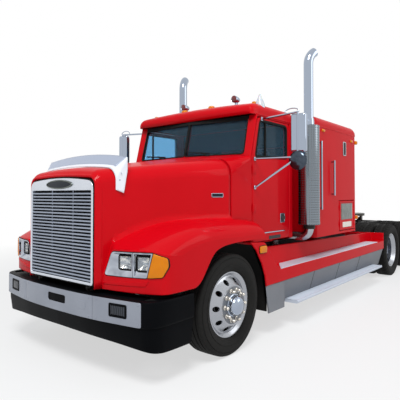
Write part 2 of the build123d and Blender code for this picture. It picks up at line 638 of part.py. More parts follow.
def fender_form(table, tail, low, mode=Mode.ADD):
    """A fender as straight runs between side sections of the same outline."""
    sections = []
    for x, front, rise in table:
        tail_z = 1160 + min(rise, 0) * 0.15
        with BuildSketch(Plane.YZ.offset(x)) as outline:
            with BuildLine():
                Polyline((aft(tail), tail_z), (aft(tail), low), (aft(front), low), (aft(front + 10), 1105 + rise * 0.3))
                ThreePointArc((aft(front + 10), 1105 + rise * 0.3),
                              (aft(front * 0.62 - 195), 1240 + rise * 0.85), (aft(-350), 1308 + rise))
                Line((aft(-350), 1308 + rise), (aft(200), 1312 + rise))
                ThreePointArc((aft(200), 1312 + rise), (aft(455), 1283 + rise * 0.9), (aft(tail), tail_z))
            make_face()
        sections.append(outline.sketch)
    loft(sections, ruled=True, mode=mode)


LAMP_OUTLINE = ((625, -1124), (800, -1102), (950, -1060), (1050, -1009), (1020, -968), (930, -1003), (790, -1045),
                (625, -1070))
TURN_OUTLINE = ((1051, -1008), (1122, -967), (1160, -920), (1118, -895), (1085, -928), (1021, -967))
LAMP_LOW = 907
LAMP_TOP = 1114
TURN_LOW = 907
TURN_TOP = 1080
ARCH = ((-590, 700), (-590, 765), (-510, 823), (-430, 922), (-352, 1020), (-275, 1078), (-120, 1113), (120, 1125),
        (700, 1125), (700, 700))
with BuildPart() as fender:
    fender_form(FENDER, FENDER_TAIL, HOOD_LOW)
with BuildPart() as fender_hollow:
    fender_form(FENDER_HOLLOW, FENDER_TAIL - HOOD_GAUGE, HOOD_LOW - 80)
with BuildPart() as hood:
    loft([crowned_section(aft(y), half, HOOD_LOW, top, corner, crown)
          for y, half, top, corner, crown in HOOD_MIDDLE], ruled=True)
    add(fender.part)
    mirror(fender.part, about=Plane.YZ)
    loft([crowned_section(aft(y), half, HOOD_LOW - 80, top, corner, crown)
          for y, half, top, corner, crown in HOOD_HOLLOW], ruled=True, mode=Mode.SUBTRACT)
    add(fender_hollow.part, mode=Mode.SUBTRACT)
    mirror(fender_hollow.part, about=Plane.YZ, mode=Mode.SUBTRACT)
    block(-998, 998, aft(260), aft(700), 700, 2100, mode=Mode.SUBTRACT)
    block(-525, 525, aft(-1220), aft(-1120), 700, 1765, mode=Mode.SUBTRACT)
    for side in (-1, 1):
        side_prism([(aft(y), z) for y, z in ARCH], side * 500, side * 1300, mode=Mode.SUBTRACT)
        plan_prism([(side * x, aft(y)) for x, y in LAMP_OUTLINE], LAMP_LOW, LAMP_TOP, mode=Mode.SUBTRACT)
        plan_prism([(side * x, aft(y)) for x, y in TURN_OUTLINE], TURN_LOW, TURN_TOP, mode=Mode.SUBTRACT)
        block(side * 522 - 22, side * 522 + 22, HINGE_Y - 20, HINGE_Y + 20, 752, 800)
    rod((-502, HINGE_Y, HINGE_Z), (502, HINGE_Y, HINGE_Z), HINGE_BAR)
keep(hood.part, "hood")

with BuildPart() as headlamps:
    plan_prism([(x, aft(y)) for x, y in LAMP_OUTLINE], LAMP_LOW, LAMP_TOP)
    mirror(about=Plane.YZ)
keep(headlamps.part, "headlamps")

with BuildPart() as turn_lamps:
    plan_prism([(x, aft(y)) for x, y in TURN_OUTLINE], TURN_LOW, TURN_TOP)
    mirror(about=Plane.YZ)
keep(turn_lamps.part, "turn_lamps")

# Grille: a frame with a plain top panel, flat slats and two upright ribs.
GRILLE_HALF = 523
GRILLE_LOW = 800
GRILLE_TOP = 1763
GRILLE_FRONT = aft(-1195)
GRILLE_BACK = aft(-1152)
SLATS = 26
SLAT_PITCH = 31
with BuildPart() as grille:
    block(-GRILLE_HALF, GRILLE_HALF, GRILLE_FRONT, GRILLE_BACK, GRILLE_LOW, GRILLE_TOP)
    block(-GRILLE_HALF + 24, GRILLE_HALF - 24, GRILLE_FRONT - 5, GRILLE_BACK + 5, GRILLE_LOW + 24, 1650,
          mode=Mode.SUBTRACT)
    for row in range(SLATS):
        block(-GRILLE_HALF + 20, GRILLE_HALF - 20, GRILLE_FRONT + 8, GRILLE_BACK - 8,
              836 + row * SLAT_PITCH, 850 + row * SLAT_PITCH)
    for side in (-1, 1):
        block(side * 175 - 6, side * 175 + 6, GRILLE_FRONT + 6, GRILLE_BACK - 8, GRILLE_LOW + 20, 1655)
keep(grille.part, "grille")

# Hood shield, a thin band that rises off the hood's front edge, with legs down the sides.
with BuildPart() as hood_shield:
    loft([crowned_section(aft(-1010), 609, 1630, 1880, 136, 22), crowned_section(aft(-915), 640, 1630, 2002, 150, 27)],
         ruled=True)
    loft([crowned_section(aft(-1011), 604, 1620, 1875, 131, 22), crowned_section(aft(-914), 635, 1620, 1997, 145, 27)],
         ruled=True, mode=Mode.SUBTRACT)
keep(hood_shield.part, "hood_shield")

# Steering knuckles with kingpin, spindle and arm, and the tie rod between the arms.
SPINDLE = 45
ARM_REACH = 185
TIE_Z = 345
TIE_PIN = 12
with BuildPart() as knuckle:
    block(868, 975, FRONT_AXLE_Y - 45, FRONT_AXLE_Y + 45, 586, 626)
    block(868, 975, FRONT_AXLE_Y - 45, FRONT_AXLE_Y + 45, 384, 424)
    block(950, 975, FRONT_AXLE_Y - 60, FRONT_AXLE_Y + 60, 384, 626)
    rod((955, FRONT_AXLE_Y, WHEEL_Z), (975, FRONT_AXLE_Y, WHEEL_Z), 200)
    rod((KINGPIN_X, FRONT_AXLE_Y, 384), (KINGPIN_X, FRONT_AXLE_Y, 626), KINGPIN_RADIUS)
    rod((970, FRONT_AXLE_Y, WHEEL_Z), (1124, FRONT_AXLE_Y, WHEEL_Z), SPINDLE)
    block(KINGPIN_X - 20, KINGPIN_X + 20, FRONT_AXLE_Y + 20, FRONT_AXLE_Y + ARM_REACH + 22, 384, 410)
    rod((KINGPIN_X, FRONT_AXLE_Y + ARM_REACH, 318), (KINGPIN_X, FRONT_AXLE_Y + ARM_REACH, 390), TIE_PIN)
keep(knuckle.part, "knuckle_left")
keep_right(knuckle.part, "knuckle_right")

with BuildPart() as tie_rod:
    rod((-KINGPIN_X, FRONT_AXLE_Y + ARM_REACH, TIE_Z), (KINGPIN_X, FRONT_AXLE_Y + ARM_REACH, TIE_Z), 17)
    for side in (-1, 1):
        rod((side * KINGPIN_X, FRONT_AXLE_Y + ARM_REACH, TIE_Z - 22),
            (side * KINGPIN_X, FRONT_AXLE_Y + ARM_REACH, TIE_Z + 22), 26)
        rod((side * KINGPIN_X, FRONT_AXLE_Y + ARM_REACH, TIE_Z - 30),
            (side * KINGPIN_X, FRONT_AXLE_Y + ARM_REACH, TIE_Z + 30), TIE_PIN + 0.4, mode=Mode.SUBTRACT)
keep(tie_rod.part, "tie_rod")

# Wheels and tyres, drawn as (X, radius) outlines and turned about the axle line.
FRONT_TYRE_X = 1040
OUTER_TYRE_X = 1070
INNER_TYRE_X = 745
FRONT_WHEEL = ((935, 324), (945, 311), (975, 305), (1000, 272), (1080, 272), (1105, 305), (1135, 311), (1145, 324),
               (1145, 312), (1135, 300), (1122, 285), (1128, 270), (1180, 215), (1195, 200), (1195, 100), (1255, 88),
               (1272, 70), (1275, 0), (1130, 0), (1130, 45.4), (985, 45.4), (985, 120), (1178, 120), (1178, 195),
               (1166, 208), (1108, 262), (1085, 258), (985, 258), (945, 297), (935, 312))
TWIN_WHEEL = ((640, 324), (650, 311), (690, 305), (715, 272), (790, 272), (812, 305), (840, 311), (850, 324),
              (852, 312), (880, 262), (907, 235), (935, 262), (963, 312), (965, 324), (975, 311), (1003, 305),
              (1025, 272), (1100, 272), (1125, 305), (1165, 311), (1175, 324), (1175, 312), (1160, 297), (1110, 258),
              (1030, 258), (960, 250), (925, 215), (925, 110), (1075, 110), (1090, 95), (1090, 0), (1000, 0),
              (1000, 65.4), (800, 65.4), (800, 150), (890, 160), (890, 225), (850, 250), (785, 258), (705, 258),
              (655, 297), (640, 312))
TYRE = ((-92, 312), (-100, 326), (-116, 338), (-134, 375), (-140, 415), (-138, 450), (-130, 482), (-118, 497),
        (-100, 503), (0, 505), (100, 503), (118, 497), (130, 482), (138, 450), (140, 415), (134, 375), (116, 338),
        (100, 326), (92, 312))
HAND_HOLE = 27


def wheel_at(outline, place, hole_radius, x0, x1):
    """A spun wheel with a ring of hand holes, set on its axle line."""
    with BuildPart() as spun_wheel:
        spun(outline)
        for turn in range(10):
            with Locations(Location((0, 0, 0), (turn * 36 + 18, 0, 0))):
                with Locations(Location(((x0 + x1) / 2, 0, hole_radius), (0, 90, 0))):
                    Cylinder(HAND_HOLE, x1 - x0, mode=Mode.SUBTRACT)
    return spun_wheel.part.moved(Location((0, aft(place), WHEEL_Z)))


def tyres_at(places_x, place):
    """One or two tyres on an axle line."""
    with BuildPart() as spun_tyre:
        for x in places_x:
            spun([(x + dx, radius) for dx, radius in TYRE])
    return spun_tyre.part.moved(Location((0, aft(place), WHEEL_Z)))


front_wheel = wheel_at(FRONT_WHEEL, 0, 238, 1080, 1200)
front_tyre = tyres_at((FRONT_TYRE_X,), 0)
keep(front_wheel, "wheel_front_left")
keep_right(front_wheel, "wheel_front_right")
keep(front_tyre, "tyre_front_left")
keep_right(front_tyre, "tyre_front_right")
for axle, place in (("first", FIRST_DRIVE_AFT), ("second", SECOND_DRIVE_AFT)):
    twin_wheel = wheel_at(TWIN_WHEEL, place, 190, 870, 945)
    twin_tyres = tyres_at((INNER_TYRE_X, OUTER_TYRE_X), place)
    keep(twin_wheel, "wheel_" + axle + "_left")
    keep_right(twin_wheel, "wheel_" + axle + "_right")
    keep(twin_tyres, "tyres_" + axle + "_left")
    keep_right(twin_tyres, "tyres_" + axle + "_right")

# Fifth wheel: a base on the rails and a plate that tips on two pins.
FIFTH_AFT = 5950
FIFTH_Y = aft(FIFTH_AFT)
FIFTH_PIVOT_Z = 1085
FIFTH_TOP = 1195
KINGPIN_BORE = 25.7
with BuildPart() as fifth_wheel_base:
    for side in (-1, 1):
        block(side * 385 - 50, side * 385 + 50, FIFTH_Y - 320, FIFTH_Y + 320, RAIL_TOP, RAIL_TOP + 20)
        side_prism(((FIFTH_Y - 110, RAIL_TOP + 15), (FIFTH_Y + 110, RAIL_TOP + 15), (FIFTH_Y + 45, FIFTH_PIVOT_Z + 30),
                    (FIFTH_Y - 45, FIFTH_PIVOT_Z + 30)), side * 357 - 20, side * 357 + 20)
        rod((side * 357 - 30, FIFTH_Y, FIFTH_PIVOT_Z), (side * 357 + 30, FIFTH_Y, FIFTH_PIVOT_Z), 25.4,
            mode=Mode.SUBTRACT)
    block(-340, 340, FIFTH_Y - 60, FIFTH_Y + 60, RAIL_TOP, RAIL_TOP + 20)
keep(fifth_wheel_base.part, "fifth_wheel_base")

with BuildPart() as fifth_wheel_plate:
    with BuildSketch(Plane.XY.offset(FIFTH_TOP - 50)):
        with Locations((0, FIFTH_Y)):
            Circle(460)
        with BuildLine():
            Polyline((210, FIFTH_Y + 480), (32, FIFTH_Y + 95), (-32, FIFTH_Y + 95), (-210, FIFTH_Y + 480), close=True)
        make_face(mode=Mode.SUBTRACT)
        with Locations((0, FIFTH_Y)):
            Circle(KINGPIN_BORE, mode=Mode.SUBTRACT)
    extrude(amount=50)
    for side in (-1, 1):
        block(side * 405 - 20, side * 405 + 20, FIFTH_Y - 45, FIFTH_Y + 45, FIFTH_PIVOT_Z - 40, FIFTH_TOP - 45)
        rod((side * 340, FIFTH_Y, FIFTH_PIVOT_Z), (side * 405, FIFTH_Y, FIFTH_PIVOT_Z), 25)
keep(fifth_wheel_plate.part, "fifth_wheel_plate")

# Mud flaps on the rear bar.
with BuildPart() as mud_flaps:
    block(620, 1200, aft(7390), aft(7400), 240, 960)
    mirror(about=Plane.YZ)
keep(mud_flaps.part, "mud_flaps")
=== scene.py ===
import json
import math

import bmesh
import bpy
import numpy as np
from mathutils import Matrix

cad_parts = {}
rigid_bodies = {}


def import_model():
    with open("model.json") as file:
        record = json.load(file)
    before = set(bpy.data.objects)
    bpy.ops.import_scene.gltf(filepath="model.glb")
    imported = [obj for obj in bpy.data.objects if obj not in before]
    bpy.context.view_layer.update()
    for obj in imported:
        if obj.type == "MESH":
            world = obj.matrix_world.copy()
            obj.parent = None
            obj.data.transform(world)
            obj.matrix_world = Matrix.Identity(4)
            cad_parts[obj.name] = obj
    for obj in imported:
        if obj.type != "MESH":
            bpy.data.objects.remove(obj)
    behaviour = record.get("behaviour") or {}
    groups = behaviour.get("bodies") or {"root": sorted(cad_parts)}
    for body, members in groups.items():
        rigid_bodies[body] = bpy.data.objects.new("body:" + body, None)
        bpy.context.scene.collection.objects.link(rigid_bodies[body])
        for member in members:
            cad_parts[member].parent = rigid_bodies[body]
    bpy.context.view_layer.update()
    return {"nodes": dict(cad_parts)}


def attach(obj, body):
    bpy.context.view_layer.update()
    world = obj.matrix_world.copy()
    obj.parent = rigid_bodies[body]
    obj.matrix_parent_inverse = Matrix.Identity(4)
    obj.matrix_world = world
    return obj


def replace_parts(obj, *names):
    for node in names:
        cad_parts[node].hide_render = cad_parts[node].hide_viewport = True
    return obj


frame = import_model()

# Chassis frame: pressed steel channels with crossmembers, brackets, axles and springs bolted to them,
# sprayed with black chassis enamel that has dulled and gathered road dust.


def linear(hex_colour):
    """sRGB hex digits to linear light: c / 12.92 when dark, else ((c + 0.055) / 1.055) to the power 2.4."""
    c = np.array([int(hex_colour[i:i + 2], 16) for i in (1, 3, 5)]) / 255
    return (*np.where(c <= 0.04045, c / 12.92, ((c + 0.055) / 1.055) ** 2.4).tolist(), 1.0)


def add(tree, kind, inputs=(), **properties):
    """Adds a node: properties are set on it, an input given a socket is linked, any other value is put on it."""
    node = tree.nodes.new(kind)
    for name, value in properties.items():
        setattr(node, name, value)
    for name, value in dict(inputs).items():
        if isinstance(value, bpy.types.NodeSocket):
            tree.links.new(value, node.inputs[name])
        else:
            node.inputs[name].default_value = value
    return node


def finish_of(name, recipe):
    """A named material: the recipe works out the shader's inputs from the tree and the object coordinates."""
    material = bpy.data.materials.new(name)
    material.use_nodes = True
    tree = material.node_tree
    tree.nodes.clear()
    place = add(tree, "ShaderNodeTexCoord")
    shader = add(tree, "ShaderNodeBsdfPrincipled", recipe(tree, place))
    add(tree, "ShaderNodeOutputMaterial", {"Surface": shader.outputs["BSDF"]})
    return material


# A texture is a kind of node, the output that is read, and the scale at which it repeats once a metre.
NOISE = ("ShaderNodeTexNoise", "Fac", 1.0)


def varied(name, pattern, colours, roughness, others=(), bump=None, grain=None):
    """A named material whose pattern blends two colours, two roughnesses or both. Bumps of a strength and a depth
    follow the grain, or the pattern where there is none. A pattern is a texture, its size in metres, and the other
    inputs and properties of its node."""

    def recipe(tree, place):
        def drawn(texture, size, inputs=(), properties=()):
            kind, output, turns = texture
            wanted = {"Vector": place.outputs["Object"], "Scale": turns / size, **dict(inputs)}
            return add(tree, kind, wanted, **dict(properties)).outputs[output]

        share = drawn(*pattern)
        result = {"Base Color": linear(colours[0]), "Roughness": roughness[0], **dict(others)}
        if len(colours) == 2:
            result["Base Color"] = add(tree, "ShaderNodeMixRGB", {
                "Fac": share, "Color1": linear(colours[0]), "Color2": linear(colours[1])}).outputs["Color"]
        if len(roughness) == 2:
            result["Roughness"] = add(tree, "ShaderNodeMapRange", {
                "Value": share, "To Min": roughness[0], "To Max": roughness[1]}).outputs["Result"]
        if bump:
            result["Normal"] = add(tree, "ShaderNodeBump", {
                "Height": drawn(*grain) if grain else share, "Strength": bump[0],
                "Distance": bump[1]}).outputs["Normal"]
        return result

    return finish_of(name, recipe)


def linked(name, data):
    """A new object of this data, put in the scene."""
    item = bpy.data.objects.new(name, data)
    bpy.context.scene.collection.objects.link(item)
    return item


FLAT_ANGLE = math.radians(1.2)
SHARP_ANGLE = 0.6


def softened(node, material, width=0.006, shortest=0.05):
    """A copy of a CAD piece, its triangles merged into flat faces and its long sharp edges rounded; the copy
    rides where the piece rides and stands for it."""
    source = frame["nodes"][node]
    mesh = bpy.data.meshes.new(node + "_skin")
    shape = bmesh.new()
    shape.from_mesh(source.data)
    bmesh.ops.remove_doubles(shape, verts=shape.verts, dist=2e-5)
    whole = shape.copy()
    area = sum(f.calc_area() for f in shape.faces)
    bmesh.ops.dissolve_limit(shape, angle_limit=FLAT_ANGLE, verts=shape.verts, edges=shape.edges)
    cut = shape.copy()
    bmesh.ops.triangulate(cut, faces=cut.faces)
    if abs(sum(f.calc_area() for f in cut.faces) / area - 1) > 1e-3:
        shape = whole
    hollow = [f for f in shape.faces if not all(loop.is_convex for loop in f.loops)]
    bmesh.ops.triangulate(shape, faces=hollow)
    shape.edges.ensure_lookup_table()
    weights = [float(e.calc_length() > shortest and len(e.link_faces) == 2
                     and e.calc_face_angle(0) > SHARP_ANGLE) for e in shape.edges]
    shape.to_mesh(mesh)
    shape.free()
    if "custom_normal" in mesh.attributes:
        mesh.attributes.remove(mesh.attributes["custom_normal"])
    mesh.materials.clear()
    mesh.materials.append(material)
    mesh.attributes.new("bevel_weight_edge", "FLOAT", "EDGE").data.foreach_set("value", weights)
    mesh.polygons.foreach_set("use_smooth", np.ones(len(mesh.polygons), bool))
    mesh.set_sharp_from_angle(angle=SHARP_ANGLE)
    skin = linked(node + "_skin", mesh)
    edge = skin.modifiers.new("rounded_edges", "BEVEL")
    edge.limit_method = "WEIGHT"
    edge.width = width
    edge.segments = 2
    edge.use_clamp_overlap = False
    skin.modifiers.new("flat_faces", "WEIGHTED_NORMAL").keep_sharp = True
    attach(skin, source.parent.name.split(":")[1])
    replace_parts(skin, node)
    return skin


# Black enamel: nearly black, half matt, with pale dust in soft patches about 0.4 m across.
chassis_enamel = varied("chassis_black_enamel", (NOISE, 0.4, {"Detail": 6.0}), ("#08090A", "#211F1D"),
                        (0.35, 0.65), {"Specular IOR Level": 0.2})
for node in ("frame_rails", "frame_fittings", "axles", "suspension", "knuckle_left", "knuckle_right", "tie_rod",
             "fifth_wheel_base"):
    softened(node, chassis_enamel, width=0.003)

# Fifth wheel plate: dark cast steel, smeared with grease that shines in streaks about 60 mm wide.
fifth_wheel_steel = varied("fifth_wheel_greased_steel", (NOISE, 0.06, {"Detail": 4.0, "Distortion": 1.5}),
                           ("#17140F", "#4A463F"), (0.2, 0.55), {"Metallic": 0.6})
softened("fifth_wheel_plate", fifth_wheel_steel, width=0.006)

# Black rubber: matt, greyed by dust in specks about 50 mm across, with a moulded grain of 4 mm.
black_rubber = varied("moulded_black_rubber", (NOISE, 0.05, {"Detail": 8.0}), ("#0B0B0B", "#1A1918"), (0.72,),
                      {"Specular IOR Level": 0.15}, bump=(0.15, 0.001), grain=(NOISE, 0.004))
for node in ("air_springs", "mud_flaps", "sleeper_boot"):
    softened(node, black_rubber, width=0.004)

# Engine: painted cast iron in dull grey, oily in the hollows, with sand-cast bumps about 6 mm across.
engine_iron = varied("engine_painted_cast_iron", (NOISE, 0.25, {"Detail": 5.0}), ("#1C1D1F", "#5A5C5F"),
                     (0.55,), bump=(0.3, 0.002), grain=(NOISE, 0.006, {"Detail": 3.0}))
softened("engine", engine_iron, width=0.015)

# Fuel tank: bare rolled aluminium, pale and softly bright, with faint smears about 0.2 m long.
tank_aluminium = varied("tank_rolled_aluminium", (NOISE, 0.2, {"Detail": 6.0}), ("#C9CCD0",), (0.22, 0.42),
                        {"Metallic": 1.0})
softened("fuel_tanks", tank_aluminium, width=0.012, shortest=0.015)

# Tyres: radial truck tyres, moulded black rubber. The front pair have plain ribs, the drive axles' twins have
# ribs cut across into blocks; all have rings moulded into the sidewalls.
FRONT_AXLE_Y = -3.08
WHEEL_Z = 0.505
BEAD_RADIUS = 0.3125
GROOVE_DEPTH = 0.012
BLOCK_STEPS = 6
FRONT_TYRE_X = 1.040
TWIN_TYRE_X = (0.745, 1.070)
FIRST_DRIVE_AFT = 5.455
SECOND_DRIVE_AFT = 6.775
HALF_TYRE = (
    # across from the middle, radius, cut across
    (0.000, 0.5050, 0), (0.024, 0.5049, 0), (0.026, 0.4930, 0), (0.036, 0.4928, 0), (0.038, 0.5046, 1),
    (0.072, 0.5040, 1), (0.074, 0.4920, 0), (0.084, 0.4915, 0), (0.086, 0.5036, 1), (0.106, 0.5026, 1),
    (0.117, 0.4985, 1), (0.123, 0.4900, 1), (0.128, 0.4790, 0), (0.133, 0.4680, 0), (0.1300, 0.4650, 0),
    (0.1300, 0.4610, 0), (0.1365, 0.4580, 0), (0.1390, 0.4400, 0), (0.1400, 0.4150, 0), (0.1365, 0.4000, 0),
    (0.1365, 0.3970, 0), (0.1410, 0.3940, 0), (0.1380, 0.3860, 0), (0.1340, 0.3720, 0), (0.1260, 0.3540, 0),
    (0.1240, 0.3520, 0), (0.1240, 0.3480, 0), (0.1200, 0.3420, 0), (0.1080, 0.3310, 0), (0.1000, 0.3260, 0),
    (0.0920, 0.3125, 0),
)


def aft(distance):
    """Y of a place this far behind the front axle, in metres."""
    return FRONT_AXLE_Y + distance


def turned(profile, centre, steps=64, axis=0, side=1):
    """(along, radius) points turned about a line through the centre: at angle t a point lies radius * cos t and
    radius * sin t off the line. On side -1 the points run the other way along it."""
    profile = np.asarray(profile, float)
    t = np.linspace(0, 2 * np.pi, steps + 1)
    first, second = ((1, 2), (2, 0), (0, 1))[axis]
    points = np.zeros((len(profile), steps + 1, 3))
    points[..., axis] = side * profile[:, :1]
    points[..., first] = profile[:, 1:] * np.cos(t)
    points[..., second] = profile[:, 1:] * np.sin(t)
    return points + np.asarray(centre, float)


def piece(name, surfaces, material, body, closed=True, sharp=35, opening=None):
    """A mesh from grids of points: each grid's neighbouring rows and columns make four-sided faces, those whose
    middles lie in an opening are left out, seams and poles are welded, closed shapes face outwards, and it rides
    on a body."""
    corners = []
    faces = []
    count = 0
    for grid in surfaces:
        rows, columns = grid.shape[:2]
        first = count + np.arange(rows - 1)[:, None] * columns + np.arange(columns - 1)
        faces.append(np.stack([first, first + 1, first + columns + 1, first + columns], -1).reshape(-1, 4))
        corners.append(grid.reshape(-1, 3))
        count += rows * columns
    corners = np.concatenate(corners)
    faces = np.concatenate(faces)
    if opening is not None:
        faces = faces[~opening(corners[faces].mean(1))]
    mesh = bpy.data.meshes.new(name)
    mesh.from_pydata(corners.tolist(), [], faces.tolist())
    shape = bmesh.new()
    shape.from_mesh(mesh)
    bmesh.ops.remove_doubles(shape, verts=shape.verts, dist=1e-5)
    if closed:
        bmesh.ops.recalc_face_normals(shape, faces=shape.faces)
    shape.to_mesh(mesh)
    shape.free()
    mesh.polygons.foreach_set("use_smooth", np.ones(len(mesh.polygons), bool))
    mesh.set_sharp_from_angle(angle=math.radians(sharp))
    mesh.materials.append(material)
    item = linked(name, mesh)
    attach(item, body)
    return item


def tyre(x, y, side, cuts):
    """Half a profile with its mirror image, turned about the axle; where cuts are given, the marked points drop
    by the groove's depth over the last third of each of that many steps round the tyre."""
    table = np.array(HALF_TYRE)
    whole = np.concatenate([table[::-1] * np.array((-1, 1, 1)), table[1:]])
    inner = np.array(((0.085, BEAD_RADIUS, 0), (-0.085, BEAD_RADIUS, 0), (-0.092, BEAD_RADIUS, 0)))
    whole = np.concatenate([whole, inner])
    steps = max(cuts * BLOCK_STEPS, 96)
    grid = turned(whole[:, :2], (0, 0, 0), steps)
    if cuts:
        angle = np.arange(steps + 1)
        slant = (np.abs(whole[:, :1]) * 60).astype(int)
        groove = ((angle[None, :] + slant) % BLOCK_STEPS >= 4) * whole[:, 2:]
        radius = np.hypot(grid[..., 1], grid[..., 2])
        grid[..., 1:] *= (1 - GROOVE_DEPTH * groove / radius)[..., None]
    return grid + np.array((side * x, y, WHEEL_Z))


# Tyre rubber: black to dark grey, matt, dustier in soft rings and specks about 30 mm across.
tyre_rubber = varied("tyre_black_rubber", (NOISE, 0.03, {"Detail": 8.0}), ("#0D0D0D", "#1F1E1C"), (0.78,),
                     {"Specular IOR Level": 0.2}, bump=(0.2, 0.001), grain=(NOISE, 0.003))
BLOCKS_ROUND = 40
HANDS = ((1, "left"), (-1, "right"))
for side, hand in HANDS:
    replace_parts(piece("tyre_front_" + hand + "_ribbed", [tyre(FRONT_TYRE_X, aft(0), side, 0)], tyre_rubber,
                      "front_wheel_" + hand, sharp=50), "tyre_front_" + hand)
    for axle, place_aft in (("first", FIRST_DRIVE_AFT), ("second", SECOND_DRIVE_AFT)):
        pair = [tyre(x, aft(place_aft), side, BLOCKS_ROUND) for x in TWIN_TYRE_X]
        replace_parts(piece("tyres_" + axle + "_" + hand + "_blocked", pair, tyre_rubber, "twin_" + axle + "_" + hand,
                          sharp=50), "tyres_" + axle + "_" + hand)

# Wheels: forged aluminium discs, polished, with hand holes all round, held to the hubs by ten nuts. A chrome
# cap is pressed over each hub and a stainless cover over each nut.
NUTS = 10
NUT_RING = 0.149
NUT_CAP = ((0, 0.0), (0, 0.023), (0.007, 0.023), (0.010, 0.0180), (0.040, 0.0165), (0.048, 0.013), (0.053, 0.006),
           (0.054, 0.0))
FRONT_NUT_X = 1.194
TWIN_NUT_X = 0.924
FRONT_CAP = ((1.19, 0.0), (1.19, 0.110), (1.199, 0.110), (1.203, 0.101), (1.232, 0.098), (1.256, 0.090),
             (1.272, 0.074), (1.281, 0.052), (1.286, 0.026), (1.287, 0.0))
TWIN_CAP = ((0.92, 0.0), (0.92, 0.113), (1.070, 0.113), (1.084, 0.108), (1.094, 0.094), (1.098, 0.05),
            (1.099, 0.0))
DRUM = ((1.030, 0.135), (1.030, 0.235), (1.036, 0.240), (1.044, 0.240), (1.048, 0.234), (1.048, 0.135))

# Polished forged aluminium: bright, slightly blurred, with polishing marks about 60 mm across.
wheel_aluminium = varied("wheel_polished_aluminium", (NOISE, 0.06, {"Detail": 3.0}), ("#A8ABB1",), (0.2, 0.3),
                         {"Metallic": 1.0})
# Chrome plate: mirror bright and faintly blue, a little hazed where it has been wiped, in 80 mm patches.
chrome = varied("bright_chrome_plate", (NOISE, 0.08, {"Detail": 4.0}), ("#A3ADBC",), (0.03, 0.14),
                {"Metallic": 1.0})
# Satin aluminium round the wheel nuts: mid grey, blurred, dusty in 40 mm patches.
boss_aluminium = varied("hub_satin_aluminium", (NOISE, 0.04, {"Detail": 5.0}), ("#5E6268", "#82868C"), (0.4,),
                        {"Metallic": 0.7})
# Pressed stainless nut covers: warm white, bright, a little blurred, with water marks about 10 mm across.
nut_stainless = varied("nut_cover_stainless", (NOISE, 0.01, {"Detail": 3.0}), ("#DBD5CB",), (0.15, 0.3),
                       {"Metallic": 0.7})
for side, hand in HANDS:
    for group, axle, axle_aft, nut_x, cap in (("front_wheel", "front", 0, FRONT_NUT_X, FRONT_CAP),
                                              ("twin_first", "first", FIRST_DRIVE_AFT, TWIN_NUT_X, TWIN_CAP),
                                              ("twin_second", "second", SECOND_DRIVE_AFT, TWIN_NUT_X, TWIN_CAP)):
        softened("wheel_" + axle + "_" + hand, wheel_aluminium, width=0.003, shortest=0.02)
        centre = np.array((0, aft(axle_aft), WHEEL_Z))
        nuts = []
        for turn in np.arange(NUTS) * (2 * np.pi / NUTS):
            spot = centre + np.array((side * nut_x, NUT_RING * np.cos(turn), NUT_RING * np.sin(turn)))
            nuts.append(turned(NUT_CAP, spot, 12, side=side))
        boss = ((nut_x, 0.108), (nut_x, 0.186), (nut_x + 0.003, 0.184), (nut_x + 0.004, 0.178),
                (nut_x + 0.004, 0.108))
        for label, parts, finish in (("hub_cap_", [turned(cap, centre, 48, side=side)], chrome),
                                     ("hub_boss_", [turned(boss, centre, 48, side=side)], boss_aluminium),
                                     ("nut_covers_", nuts, nut_stainless)):
            piece(label + axle + "_" + hand, parts, finish, group + "_" + hand, sharp=40)
    piece("brake_drum_" + hand, [turned(DRUM, (0, aft(0), WHEEL_Z), 48, side=side)], chassis_enamel,
          "front_wheel_" + hand)

# Side fairings and quarter panels: moulded panels in the cab's red, bolted along the frame over grey moulded
# skirts with slanted joints. Pressed aluminium treads cover their ledges, the running boards and the deck.

# Two-stage urethane: deep clean red under a hard clear coat, with a faint orange peel about 9 mm across.
red_paint = varied("red_urethane_clear_coat", (NOISE, 0.5, {"Detail": 4.0}), ("#C40411", "#D20818"), (0.35,),
                   {"Specular IOR Level": 0.02, "Coat Weight": 0.15, "Coat Roughness": 0.05},
                   bump=(0.02, 0.001), grain=(NOISE, 0.009))
softened("side_fairings", red_paint, width=0.010)

CELLS = ("ShaderNodeTexVoronoi", "Distance", 1.0)
# Moulded grey plastic: flat blue-grey, satin, with a leather grain about 5 mm across.
skirt_plastic = varied("skirt_grained_grey_plastic", (NOISE, 0.6, {"Detail": 5.0}), ("#686B71", "#808389"),
                       (0.5,), bump=(0.2, 0.001), grain=(CELLS, 0.005))
softened("skirts", skirt_plastic, width=0.006)

BANDS = ("ShaderNodeTexWave", "Fac", 0.314)
# Tread plate: pale rolled aluminium, dull from boots, with raised slanted bars 13 mm apart.
tread_aluminium = varied("tread_pressed_aluminium", (NOISE, 0.05, {"Detail": 6.0}), ("#CDD5E2",), (0.3, 0.55),
                         {"Metallic": 0.1}, bump=(0.3, 0.003),
                         grain=(BANDS, 0.009425, {}, {"bands_direction": "DIAGONAL"}))
LEDGE_Z = 0.735
LEDGE_IN = 0.985
LEDGE_OUT = 1.194
LEDGE_STRIPS = ((1.28, 0.96, 2.045), (2.055, 2.055, 2.935), (2.945, 2.945, 3.805), (3.815, 3.815, 4.550))
BOARD_FRONT = 1.20
BOARD_REAR = 4.48
DECK_HALF = 0.428
DECK_Z = 0.980


def face_at(axis, level, way=1):
    """A placement on a flat face square to an axis: an outline's two numbers go to the other axes, a distance
    behind the front axle becomes Y, and a height off the face runs along the axis, or against it for -1."""
    across = [k for k in range(3) if k != axis]

    def put(outline, height):
        points = np.empty((len(outline), 3))
        points[:, across] = outline
        if axis != 1:
            points[:, 1] = aft(points[:, 1])
        points[:, axis] = level + way * height
        return points

    return put


def oblong(left, low, right, top):
    """The four corners of an upright rectangle, anticlockwise from the low left one."""
    return (left, low), (right, low), (right, top), (left, top)


